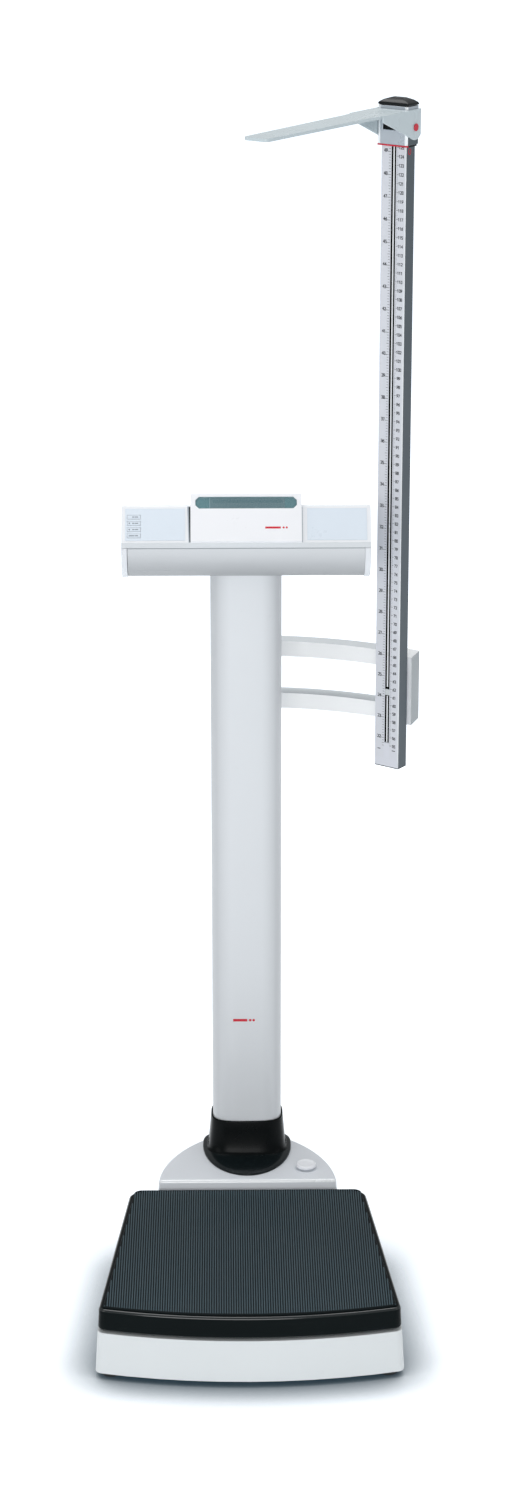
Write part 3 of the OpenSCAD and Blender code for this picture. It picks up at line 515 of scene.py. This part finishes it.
# ---------------------------------------------------------------- rear cover and foot button

cover_low, cover_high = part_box("rear_cover")
COVER_TOP = cover_high.z
LOBE_Y, LOBE_W, LOBE_D, LOBE_P = 0.168, 0.106, 0.136, 1.8  # centre, half width, depth, power
COVER_R, BUTTON_EDGE = 0.0042, 0.0022  # roundings of the cover's top and of the button's
COVER_FRONT = cover_low.y


def lobe_ring(inset, z, front):
    """Half oval at the rear, straight at the front, with small round front corners."""
    a, b = LOBE_W - inset, LOBE_D - inset
    ring = []
    steps, r = 48, 0.003
    for i in range(steps + 1):
        t = math.radians(180 * i / steps)
        c, s = math.cos(t), math.sin(t)
        ring.append((a * math.copysign(abs(c) ** (2 / LOBE_P), c),
                     max(LOBE_Y + b * abs(s) ** (2 / LOBE_P), front + r)))
    ring += [(-a, front + r)] + [(-a + r * (1 - cosd(t)), front + r * (1 - sind(t)))
                                 for t in (30, 60, 90)]
    ring += [(a - r * (1 - cosd(t)), front + r * (1 - sind(t)))
             for t in (90, 60, 30)] + [(a, front + r)]
    return [(x, y, z) for x, y in ring]


levels = [(-0.0030, cover_low.z, 0.0), (-0.0026, COVER_TOP - 0.0300, 0.0004),
          (-0.0020, COVER_TOP - 0.0180, 0.0010), (-0.0008, COVER_TOP - 0.0070, 0.0022)]
levels += [(-0.0008 + COVER_R * (1 - cosd(t)), COVER_TOP - COVER_R + COVER_R * sind(t),
            0.0028 + 0.0034 * (1 - cosd(t))) for t in (0, 15, 30, 45, 60, 75, 90)]
rings = [lobe_ring(i, z, COVER_FRONT + f) for i, z, f in levels]
verts, faces = loft(rings)
cover = build("cover_shell", verts, faces, COVER, "stand", ["rear_cover"])
cover.data.materials.append(PAINTED_HIGHLIGHT)  # painted highlight on the edge that faces the mat
for face in cover.data.polygons:
    if face.normal.y < -0.25 and face.normal.z > 0.3:
        face.material_index = 1

button_low, button_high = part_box("foot_button")
bx, by = (button_low.x + button_high.x) / 2, (button_low.y + button_high.y) / 2
BUTTON_R = (button_high.x - button_low.x) / 2
BUTTON_TOP = button_high.z


def circle(x, y, r, count):
    return [(x + r * math.cos(2 * math.pi * i / count), y + r * math.sin(2 * math.pi * i / count))
            for i in range(count)]


def disc_rings(profile):
    """Rings about the button's axis, one for each radius and height."""
    return [[(x, y, z) for x, y in circle(bx, by, r, 64)] for r, z in profile]


profile = [(0.0060, button_low.z), (0.0060, COVER_TOP + 0.0024),
           (BUTTON_R - 0.0008, COVER_TOP + 0.0026),
           (BUTTON_R, COVER_TOP + 0.0034), (BUTTON_R, BUTTON_TOP - BUTTON_EDGE)]
profile += [(BUTTON_R - 0.0016 * (1 - cosd(t)), BUTTON_TOP - BUTTON_EDGE + BUTTON_EDGE * sind(t))
            for t in (25, 50, 75, 90)]
profile += [(BUTTON_R - 0.0026, BUTTON_TOP - 0.0001), (BUTTON_R - 0.0036, BUTTON_TOP - 0.0006),
            (BUTTON_R - 0.0060, BUTTON_TOP - 0.0009), (0.0010, BUTTON_TOP - 0.0010)]
verts, faces = loft(disc_rings(profile))
build("button_cap", verts, faces, BUTTON, "foot_button", ["foot_button"], sharp=50)
ring_profile = [(BUTTON_R + 0.0014, COVER_TOP - 0.0002), (BUTTON_R + 0.0013, COVER_TOP + 0.0004),
                (BUTTON_R + 0.0010, COVER_TOP + 0.0006), (BUTTON_R + 0.0006, COVER_TOP + 0.0005),
                (BUTTON_R + 0.0004, COVER_TOP - 0.0001)]
verts, faces = loft(disc_rings(ring_profile), (False, False))
build("button_rim", verts, faces, COVER, "stand", (), sharp=60)
dress("button_spring", STEEL)
dress("foot_switch", BLACK)

# ---------------------------------------------------------------- column and its foot

COL_Y = 0.267
COL_A, COL_B, COL_P = 0.0415, 0.0285, 3.4  # half width, half depth, power
column_low, column_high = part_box("column_tube")
rings = [super_ring(COL_A, COL_B, COL_P, (0, COL_Y),
                    column_low.z + (column_high.z - column_low.z) * k / 24) for k in range(25)]
verts, faces = loft(rings, (False, True))
build("column_skin", verts, faces, COLUMN, "stand", ["column_tube"])
dress("column_socket", DARK_STEEL)
dress("column_bolts", DARK_STEEL)
dress("signal_cable", RUBBER)

flange_low, flange_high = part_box("foot_flange")
collar_low, collar_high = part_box("foot_collar")
FLANGE_Y, FLANGE_W, FLANGE_FRONT, FLANGE_REAR = 0.263, 0.054, 0.084, 0.036


def flange_ring(inset, z):
    """Half an ellipse to the front and the column's rounded box to the rear."""
    ring = []
    for i in range(60):
        t = math.radians(180 + 180 * i / 60)
        ring.append(((FLANGE_W - inset) * math.cos(t),
                     FLANGE_Y + (FLANGE_FRONT - inset) * math.sin(t), z))
    for i in range(40):
        t = math.radians(180 * i / 40)
        c, s = math.cos(t), math.sin(t)
        ring.append(((FLANGE_W - inset) * math.copysign(abs(c) ** (2 / COL_P), c),
                     FLANGE_Y + (FLANGE_REAR - inset) * abs(s) ** (2 / COL_P), z))
    return ring


z0, z1 = flange_low.z, flange_high.z
levels = [(0.0004, z0 - 0.0004), (0.0, z0 + 0.0004), (0.0, z0 + 0.0018), (0.0004, z0 + 0.0026),
          (0.0013, z0 + 0.0032), (0.0060, z0 + 0.0038), (0.0120, z1 + 0.0002)]
verts, faces = loft([flange_ring(i, z) for i, z in levels])
build("flange_shell", verts, faces, FLANGE, "stand", ["foot_flange"], sharp=60)


def collar_ring(grow, shift, z):
    """The column's outline, larger and moved back or forth."""
    return super_ring(COL_A + grow, COL_B + grow, COL_P, (0, COL_Y + shift), z)


z0, z1 = collar_low.z - 0.0010, collar_high.z
levels = [(0.0086, -0.0050, z0), (0.0066, -0.0040, z0 + 0.0016), (0.0058, -0.0034, z0 + 0.0040),
          (0.0050, -0.0024, z0 + 0.0090), (0.0041, -0.0012, z0 + 0.0180),
          (0.0030, -0.0004, z0 + 0.0300), (0.0022, 0.0, z1 - 0.0016), (0.0019, 0.0, z1 - 0.0004),
          (0.0014, 0.0, z1), (0.0008, 0.0, z1 - 0.0002), (0.0003, 0.0, z1 - 0.0012),
          (0.0002, 0.0, z1 - 0.0060)]
verts, faces = loft([collar_ring(g, s, z) for g, s, z in levels], (True, False))
build("collar_shell", verts, faces, COLLAR, "stand", ["foot_collar"], sharp=60)

# ---------------------------------------------------------------- head

dress("head_lower_shell", BELLY, 0.0006)
dress("head_upper_shell", HEAD, 0.0006)
dress("left_end_cap", ENDS, 0.0009, 3)
dress("right_end_cap", ENDS, 0.0009, 3)
dress("display_housing", UNIT, 0.0012, 3)
dress("display_window", PANE, 0.0004)
dress("display_module", LCD_DARK)
dress("left_pad", PAD)
dress("right_pad", PAD)
for name in ("key_1", "key_2", "key_3", "key_4"):
    dress(name, KEY, 0.0004)
dress("circuit_board", BOARD)
dress("battery_pack", BLACK)
dress("battery_door", BELLY, 0.0007, 3)
dress("head_bracket", PLATE)
dress("head_screws", DARK_STEEL, 0.0005)

# The head's front panel: from the nose it rises to the rear at SLOPE degrees
SLOPE = 53
NOSE = Vector((0, 0.184, 0.884))
UP_SLOPE = Vector((0, cosd(SLOPE), sind(SLOPE)))
OUT = Vector((0, -sind(SLOPE), cosd(SLOPE)))
PANEL_N = 0.0003 * cosd(SLOPE)  # the panel's surface, outwards from the line through the nose
PRINT_T = 0.00008


def panel_matrix(x, s, n):
    """Local X along the head, Y up the slope, Z outwards."""
    made = Matrix.Identity(4)
    at = NOSE + UP_SLOPE * s + OUT * n
    for i in range(3):
        made[i][0] = (1, 0, 0)[i]
        made[i][1] = UP_SLOPE[i]
        made[i][2] = OUT[i]
        made[i][3] = (x, at.y, at.z)[i]
    return made


def upright(x, y, z):
    """Local X to the right, Y up, Z towards the front."""
    return Matrix(((1, 0, 0, x), (0, 0, -1, y), (0, 1, 0, z), (0, 0, 0, 1)))


def bar(x0, y0, x1, y1, t=PRINT_T):
    return box_mesh((x0, y0, 0), (x1, y1, t))


def plate(points, t=PRINT_T):
    """A flat outline of a given thickness."""
    return loft([[(x, y, 0) for x, y in points], [(x, y, t) for x, y in points]])


def dot(x, y, r, t=PRINT_T):
    return plate(circle(x, y, r, 16), t)


def rectangle(x0, y0, x1, y1):
    return [(x0, y0), (x1, y0), (x1, y1), (x0, y1)]


# Plain red mark on the display housing and on the column: a bar with two dots
verts, faces = joined([bar(-0.0125, -0.0012, 0.0050, 0.0012), dot(0.0082, 0, 0.0012),
                       dot(0.0118, 0, 0.0012)])
build("unit_mark", verts, faces, RED_PRINT, "stand", (),
      panel_matrix(0.034, 0.0165, PANEL_N + 0.0050))
column_front = upright(-0.004, COL_Y - COL_B, 0.274)
thick = 0.0002
verts, faces = joined([bar(-0.0125, -0.0016, 0.0045, 0.0016, thick), dot(0.0080, 0, 0.0016, thick),
                       dot(0.0122, 0, 0.0016, thick)])
build("column_mark", verts, faces, RED_PRINT, "stand", (), column_front)

# Seams of the head, a painted shadow beside the display housing, and the display behind its window
# Painted shade on the front-facing strip of the head's upper shell
paint("head_upper_shell", NOSE_SHADE, lambda at, n: n.y < -0.9, Matrix.Identity(4))
front_of_head = upright(0, NOSE.y, 0.8775)
on_head = panel_matrix(0, 0, PANEL_N)
display = panel_matrix(0, 0.040, PANEL_N + 0.0031)
# A painted shadow left of the display housing: a dark wedge inside a paler, softer edge
slanted_soft = [(-0.0652, 0.0004), (-0.0631, 0.0004), (-0.0631, 0.0444), (-0.0668, 0.0444)]
slanted_dark = [(-0.0642, 0.0010), (-0.0631, 0.0010), (-0.0631, 0.0440), (-0.0652, 0.0440)]
split, seam = rectangle(-0.1345, -0.0004, 0.1345, 0.0004), rectangle(0.0632, 0.0004, 0.0639, 0.0440)
film, band = rectangle(-0.0410, 0.0012, 0.0440, 0.0132), rectangle(-0.0380, 0.0075, 0.0410, 0.0112)
line = rectangle(-0.0416, 0.0006, -0.0409, 0.0137)
for name, points, mat, slot, place, t in (
        ("split_line", split, SPLIT, "head_lower_shell", front_of_head, 0.00006),
        ("housing_shadow_soft", slanted_soft, SOFT_LINE, "head_upper_shell", on_head, 0.00006),
        ("housing_shadow_dark", slanted_dark, HOUSING_SHADOW, "head_upper_shell", on_head, 0.00012),
        ("seam_right", seam, SOFT_LINE, "head_upper_shell", on_head, 0.00012),
        ("lcd_film", film, LCD, "display_module", display, 0.00008),
        ("lcd_band", band, LCD_BAND, "display_module", display, 0.00014),
        ("lcd_line", line, SOFT_LINE, "display_module", display, 0.00016)):
    verts, faces = plate(points, t)
    build(name, verts, faces, mat, "stand", (), place)

# Legends of the keys: plain bars, and a dot on the middle two
KEY_LOW, KEY_PITCH, KEY_MIDDLE = 0.0064, 0.0076, 0.0023
KEY_X, KEY_OUT = -0.127, 0.00101
for k in range(4):
    y = KEY_LOW + KEY_PITCH * k + KEY_MIDDLE
    low = -0.0058 if k == 0 else -0.0020
    marks = [bar(low, y - 0.0006, 0.0006, y + 0.0006), bar(0.0011, y - 0.0006, 0.0048, y + 0.0006)]
    if k in (1, 2):
        marks.append(dot(-0.0052, y, 0.0009))
    verts, faces = joined(marks)
    key = "key_%d" % (4 - k)
    build("legend_%d" % (4 - k), verts, faces, GREY_PRINT, key, (),
          panel_matrix(KEY_X, 0, KEY_OUT))

# ---------------------------------------------------------------- rod bracket

dress("arm_saddle", BLOCK, 0.0010)
dress("upper_arm", ARM, 0.0022, 3)
dress("lower_arm", ARM, 0.0022, 3)
# Painted shade on the top faces of the arms
for name in ("upper_arm", "lower_arm"):
    paint(name, ARM_TOP_SHADE, lambda at, n: n.z > 0.9)
dress("rod_block", BLOCK, 0.0022, 3)
# Painted shade on the block's right side
paint("rod_block", BLOCK_SIDE_SHADE, lambda at, n: n.x > 0.6 and at.x > 0.0115)
dress("bracket_screws", STEEL, 0.0005)

# ---------------------------------------------------------------- rod

dress("rod_profile", ROD, 0.00015)
# Its right flank in a darker material, a painted highlight as the bright lip at the right of its
# front, and painted shade on the walls of its slot
paint("rod_profile", ROD_SIDE, lambda at, n: n.x > 0.9 and at.x > 0.016)
paint("rod_profile", PAINTED_HIGHLIGHT, lambda at, n: n.y < -0.9 and at.y < 0.0001 and at.x > 0.0155)
paint("rod_profile", PAINTED_PIT_SHADE, lambda at, n: abs(n.x) > 0.9 and abs(at.x) < 0.0032)
dress("inch_scale", STRIP)
dress("cm_scale", STRIP)
dress("slot_stop", STOP)

STROKES = {
    "0": [((0, 0), (1, 0)), ((1, 0), (1, 2)), ((1, 2), (0, 2)), ((0, 2), (0, 0))],
    "1": [((0.5, 0), (0.5, 2)), ((0.5, 2), (0.1, 1.6))],
    "2": [((0, 2), (1, 2)), ((1, 2), (1, 1.1)), ((1, 1.1), (0, 0)), ((0, 0), (1, 0))],
    "3": [((0, 2), (1, 2)), ((1, 2), (1, 0)), ((1, 0), (0, 0)), ((0.3, 1), (1, 1))],
    "4": [((0.8, 0), (0.8, 2)), ((0.8, 2), (0, 0.7)), ((0, 0.7), (1.1, 0.7))],
    "5": [((1, 2), (0, 2)), ((0, 2), (0, 1.1)), ((0, 1.1), (1, 1.1)),
          ((1, 1.1), (1, 0)), ((1, 0), (0, 0))],
    "6": [((1, 2), (0, 1.2)), ((0, 1.2), (0, 0)), ((0, 0), (1, 0)),
          ((1, 0), (1, 1.1)), ((1, 1.1), (0, 1.1))],
    "7": [((0, 2), (1, 2)), ((1, 2), (0.3, 0))],
    "8": [((0, 0), (1, 0)), ((1, 0), (1, 2)), ((1, 2), (0, 2)), ((0, 2), (0, 0)), ((0, 1), (1, 1))],
    "9": [((0, 0), (1, 0.8)), ((1, 0.8), (1, 2)), ((1, 2), (0, 2)),
          ((0, 2), (0, 0.9)), ((0, 0.9), (1, 0.9))],
}
INK = -0.00006  # the print lies this far in front of the rod


def stroke(a, b, width):
    """A flat quad along a line on the rod's front face."""
    (x0, z0), (x1, z1) = a, b
    length = math.hypot(x1 - x0, z1 - z0)
    ux, uz = (x1 - x0) / length * width / 2, (z1 - z0) / length * width / 2
    verts = [(x0 - ux + uz, INK, z0 - uz - ux), (x1 + ux + uz, INK, z1 + uz - ux),
             (x1 + ux - uz, INK, z1 + uz + ux), (x0 - ux - uz, INK, z0 - uz + ux)]
    return verts, [(0, 1, 2, 3)]


def number(value, x, z, size, width):
    """A number centred on a point; size is half a digit's height."""
    text = str(value)
    step = size * 1.55
    start = x - (len(text) * step - step * 0.35) / 2
    made = []
    for k, letter in enumerate(text):
        for a, b in STROKES[letter]:
            made.append(stroke((start + k * step + a[0] * size, z + (a[1] - 1) * size),
                               (start + k * step + b[0] * size, z + (b[1] - 1) * size), width))
    return made


ZERO = MAT_TOP - 0.020  # the height from which the numbers count
SCALE_LOW, SCALE_TOP = 0.616, 1.3615
TICK_FROM = 0.0041
LAST_BAR = 0.6125  # the height of the short bar below each scale


def scale_print(name, side, marks, per_label, labelled, half, plain, label, bar_from, bar_to):
    """Ticks and numbers on one side of the slot: side is 1 or -1, each tick a (reach, width)."""
    made = []
    x, lift, size, width = label
    for k, z in marks:
        if not SCALE_LOW < z < SCALE_TOP:
            continue
        kind = labelled if k % per_label == 0 else half if k % (per_label // 2) == 0 else plain
        reach, thick = kind
        made.append(stroke((side * TICK_FROM, z), (side * reach, z), thick))
        if k % per_label == 0:
            made += number(k // per_label, x, z + lift, size, width)
    made.append(stroke((bar_from, LAST_BAR), (bar_to, LAST_BAR), 0.0010))
    verts, faces = joined(made)
    build(name, verts, faces, PRINT, "stand", (), ROD_AT)


scale_print("centimetre_print", 1,
            [(k, ZERO + k * 0.001) for k in range(530, 1294)], 10,
            (0.0062, 0.00042), (0.0058, 0.00016), (0.0051, 0.00016),
            (0.0098, 0.0, 0.00150, 0.00070), 0.0078, 0.0114)
scale_print("inch_print", -1,
            [(k, ZERO + k * 0.0254 / 8) for k in range(8 * 20, 8 * 51)], 8,
            (0.0082, 0.00048), (0.0067, 0.00040), (0.0061, 0.00040),
            (-0.0107, 0.0010, 0.00160, 0.00075), -0.0122, -0.0090)
dress("rod_end_cap", BLACK, 0.0003)
dress("inner_profile", RIB)
# Painted shade on the sides and front of the inner profile's rib where it lies in the slot
paint("inner_profile", PAINTED_PIT_SHADE,
      lambda at, n: abs(at.x) < 0.0012 and (abs(n.x) > 0.9 or n.y < -0.9 and at.y < 0.0018))
# The light face of the rib in the slot, with painted shade on its sides, and the dark bottom of the
# slot as sheets of painted shade
for name, body, slot, z0, z1 in (("rib_face", "inner_rod", "inner_profile", 0.6900, 1.3635),
                                 ("guide_face", "stand", "rod_profile", 0.6215, 0.6790)):
    verts, faces = box_mesh((-0.00085, 0.00035, z0), (0.00085, 0.00115, z1))
    strip = build(name, verts, faces, RIB, body, (), ROD_AT)
    strip.data.materials.append(PAINTED_PIT_SHADE)
    for face in strip.data.polygons:
        if abs((ROD_AT.inverted().to_3x3() @ face.normal).x) > 0.9:
            face.material_index = 1
# Black sheets behind the slot: painted shade where there is only shade
verts, faces = joined([box_mesh((-0.0040, 0.00185, 0.6210), (-0.00115, 0.00215, 1.3615)),
                       box_mesh((0.00115, 0.00185, 0.6210), (0.0040, 0.00215, 1.3615)),
                       box_mesh((-0.00115, 0.00185, 0.6210), (0.00115, 0.00215, 0.6390))])
build("slot_shade", verts, faces, PAINTED_PIT_SHADE, "stand", (), ROD_AT)
dress("rod_cap", CAP_BLACK, 0.0012, 3, 20)


def sleeve():
    """The carrier's sleeve: a C-shaped wall with round corners and a window for the brake."""
    half, front, rear, wall, r = 0.0200, -0.0035, 0.0197, 0.0020, 0.0026
    opening, window = 0.0100, 0.0128  # half widths of the gap at the rear and of the window
    z0, low, high, z1 = 1.3210, 1.3370, 1.3490, 1.3635  # the window lies between low and high
    corner = range(0, 91, 15)

    def outline(inset):
        k, w, f, b = max(r - inset, 0.0004), half - inset, front + inset, rear - inset
        side = [(-opening, b)]
        side += [(-w + k - k * sind(t), b - k + k * cosd(t)) for t in corner]
        side += [(-w + k - k * cosd(t), f + k - k * sind(t)) for t in corner]
        side += [(-w + k + 0.0012, f), (-window, f)]
        return side + [(-x, y) for x, y in reversed(side)]

    outer, inner = outline(0), outline(wall)
    n, levels = len(outer), (z0, low, high, z1)
    gap = n // 2 - 1
    verts = [(x, y, z) for loop in (outer, inner) for z in levels for x, y in loop]
    faces = []

    def at(which, level, i):
        """The number of a vertex: outer or inner wall, level, point of the outline."""
        return (which * 4 + level) * n + i

    for level in range(3):
        for i in range(n - 1):
            if level == 1 and i == gap:
                continue
            for which, a, b in ((0, i, i + 1), (1, i + 1, i)):
                faces.append((at(which, level, a), at(which, level, b),
                              at(which, level + 1, b), at(which, level + 1, a)))
        for i in (0, n - 1):
            a, b, c, d = at(0, level, i), at(1, level, i), at(1, level + 1, i), at(0, level + 1, i)
            faces.append((b, a, d, c) if i == 0 else (a, b, c, d))
    for i in range(n - 1):
        faces.append((at(0, 0, i + 1), at(0, 0, i), at(1, 0, i), at(1, 0, i + 1)))
        faces.append((at(0, 3, i), at(0, 3, i + 1), at(1, 3, i + 1), at(1, 3, i)))
    a, b = gap, gap + 1
    faces.append((at(0, 1, a), at(0, 1, b), at(1, 1, b), at(1, 1, a)))
    faces.append((at(0, 2, b), at(0, 2, a), at(1, 2, a), at(1, 2, b)))
    faces.append((at(0, 1, a), at(1, 1, a), at(1, 2, a), at(0, 2, a)))
    faces.append((at(0, 1, b), at(0, 2, b), at(1, 2, b), at(1, 1, b)))
    made = build("sleeve_shell", verts, faces, SLEEVE, "carrier", ["carrier_sleeve"],
                 ROD_AT)
    # Painted highlight bands on the front beside the round corners
    made.data.materials.append(PAINTED_HIGHLIGHT)
    # Painted shade on the sleeve's right side below the window's top
    made.data.materials.append(SLEEVE_SIDE_SHADE)
    back = ROD_AT.inverted()
    for face in made.data.polygons:
        spot, turn = back @ face.center, back.to_3x3() @ face.normal
        if turn.y < -0.6 and spot.y < front + 0.0020 and half - r - 0.0013 < abs(spot.x):
            face.material_index = 1
        elif turn.x > 0.7 and spot.x > half - 0.0015 and spot.z < high:
            face.material_index = 2
    bevelled(made, 0.0004, 2, 40)


sleeve()
dress("carrier_glide", BLACK, 0.0003)
dress("reading_line", RED, 0.0002)
dress("carrier_brake", BLACK, 0.0004)
dress("pivot_pins", STEEL)
dress("pivot_caps", RED, 0.0004)
dress("headpiece_blade", BLADE, 0.0008)
# A small red ring on the rod's right flank, below the sleeve
side_face = ROD_AT @ Matrix(((0, 0, 1, 0.0165), (1, 0, 0, 0.0062), (0, 1, 0, 1.3135), (0, 0, 0, 1)))
ring = [[(r * 0.8 * cosd(t), r * sind(t), h) for t in range(0, 360, 15)]
        for r, h in ((0.0036, 0.0), (0.0036, 0.0002), (0.0024, 0.0002), (0.0024, 0.0))]
verts, faces = loft(ring, (False, False))
build("side_mark", verts, faces, RED, "stand", (), side_face)

# ---------------------------------------------------------------- studio


def area(name, at, aim, size, power):
    """A rectangular soft light that faces a point."""
    data = bpy.data.lights.new(name, "AREA")
    data.shape = "RECTANGLE"
    data.size, data.size_y = size
    data.energy = power
    made = bpy.data.objects.new(name, data)
    made.location = at
    made.rotation_euler = (Vector(aim) - Vector(at)).to_track_quat("-Z", "Y").to_euler()
    SCENE.collection.objects.link(made)


def studio_floor():
    """A wide pale floor, darkened where the object stands close to it.

    What only the lens sees: the contact shadow, and a glow that grows with the distance.
    """
    half = 40.0
    contact, contact_power = 0.062, 2.5
    near, far, glow_near, glow_far, glow_always = 0.9, 3.5, 0.14, 0.62, 0.28
    mesh = bpy.data.meshes.new("studio_floor")
    mesh.from_pydata([(-half, -half, 0), (half, -half, 0), (half, half, 0), (-half, half, 0)], [],
                     [(0, 1, 2, 3)])
    made = bpy.data.objects.new("studio_floor", mesh)
    paper = material("floor_paper", (0.93, 0.935, 0.94), 0.8, 0, 0.004, 0.6, 300, 0.02, wear=0.0)
    tree = paper.node_tree
    shader = tree.nodes["Principled BSDF"]
    corner = node(tree, "ShaderNodeAmbientOcclusion", samples=12)
    corner.inputs["Distance"].default_value = contact
    seen = node(tree, "ShaderNodeLightPath").outputs["Is Camera Ray"]
    open_air = calc(tree, "MAXIMUM", calc(tree, "POWER", corner.outputs["AO"], contact_power),
                    calc(tree, "SUBTRACT", 1.0, seen))
    plain = shader.inputs["Base Color"].links[0].from_socket
    link(tree, mixed(tree, open_air, (0.03, 0.06, 0.08, 1), plain), shader.inputs["Base Color"])
    glow = mixed(tree, open_air, (0.02, 0.04, 0.055, 1), (0.80, 0.90, 1.0, 1))
    link(tree, glow, shader.inputs["Emission Color"])
    reach = node(tree, "ShaderNodeVectorMath", operation="LENGTH")
    link(tree, node(tree, "ShaderNodeNewGeometry").outputs["Position"], reach.inputs[0])
    distant = ranged(tree, reach.outputs["Value"], glow_near, glow_far, near, far)
    total = calc(tree, "ADD", calc(tree, "MULTIPLY", distant, seen), glow_always)
    link(tree, total, shader.inputs["Emission Strength"])
    made.data.materials.append(paper)
    SCENE.collection.objects.link(made)


def studio_world():
    """Soft light from all around; the lens itself sees a plain, paler room."""
    world = bpy.data.worlds.new("studio")
    world.use_nodes = True
    tree = world.node_tree
    soft = tree.nodes["Background"]
    soft.inputs["Color"].default_value = (0.97, 0.985, 1.0, 1)
    soft.inputs["Strength"].default_value = 0.45
    pale = node(tree, "ShaderNodeBackground")
    pale.inputs["Color"].default_value = (0.93, 0.95, 0.96, 1)
    pale.inputs["Strength"].default_value = 1.0
    mix = node(tree, "ShaderNodeMixShader")
    link(tree, node(tree, "ShaderNodeLightPath").outputs["Is Camera Ray"], mix.inputs[0])
    link(tree, soft.outputs[0], mix.inputs[1])
    link(tree, pale.outputs[0], mix.inputs[2])
    link(tree, mix.outputs[0], tree.nodes["World Output"].inputs["Surface"])
    SCENE.world = world


studio_floor()
studio_world()
area("top_softbox", (-0.2, 0.6, 3.4), (0, 0.1, 0), (2.6, 2.0), 27)
area("front_softbox", (-0.5, -4.5, 1.6), (0, 0.2, 0.8), (2.6, 2.0), 58)
area("left_softbox", (-2.6, -1.6, 1.8), (0, 0.15, 0.9), (1.4, 2.4), 11)
area("right_softbox", (2.8, -1.0, 2.2), (0.1, 0.15, 0.9), (1.2, 2.4), 5)
area("rear_light", (0, 1.2, 4.2), (0, 3.2, 1.2), (5, 1.2), 60)

camera = bpy.data.cameras.new("camera")
camera.lens = 79.2
camera.sensor_width = 36
camera.clip_end = 50
eye = bpy.data.objects.new("camera", camera)
eye.location = (-0.027, -3.418, 1.870)
eye.rotation_euler = (math.radians(71.1), 0, math.radians(-0.765))
SCENE.collection.objects.link(eye)
SCENE.camera = eye
SCENE.view_settings.view_transform = "Standard"
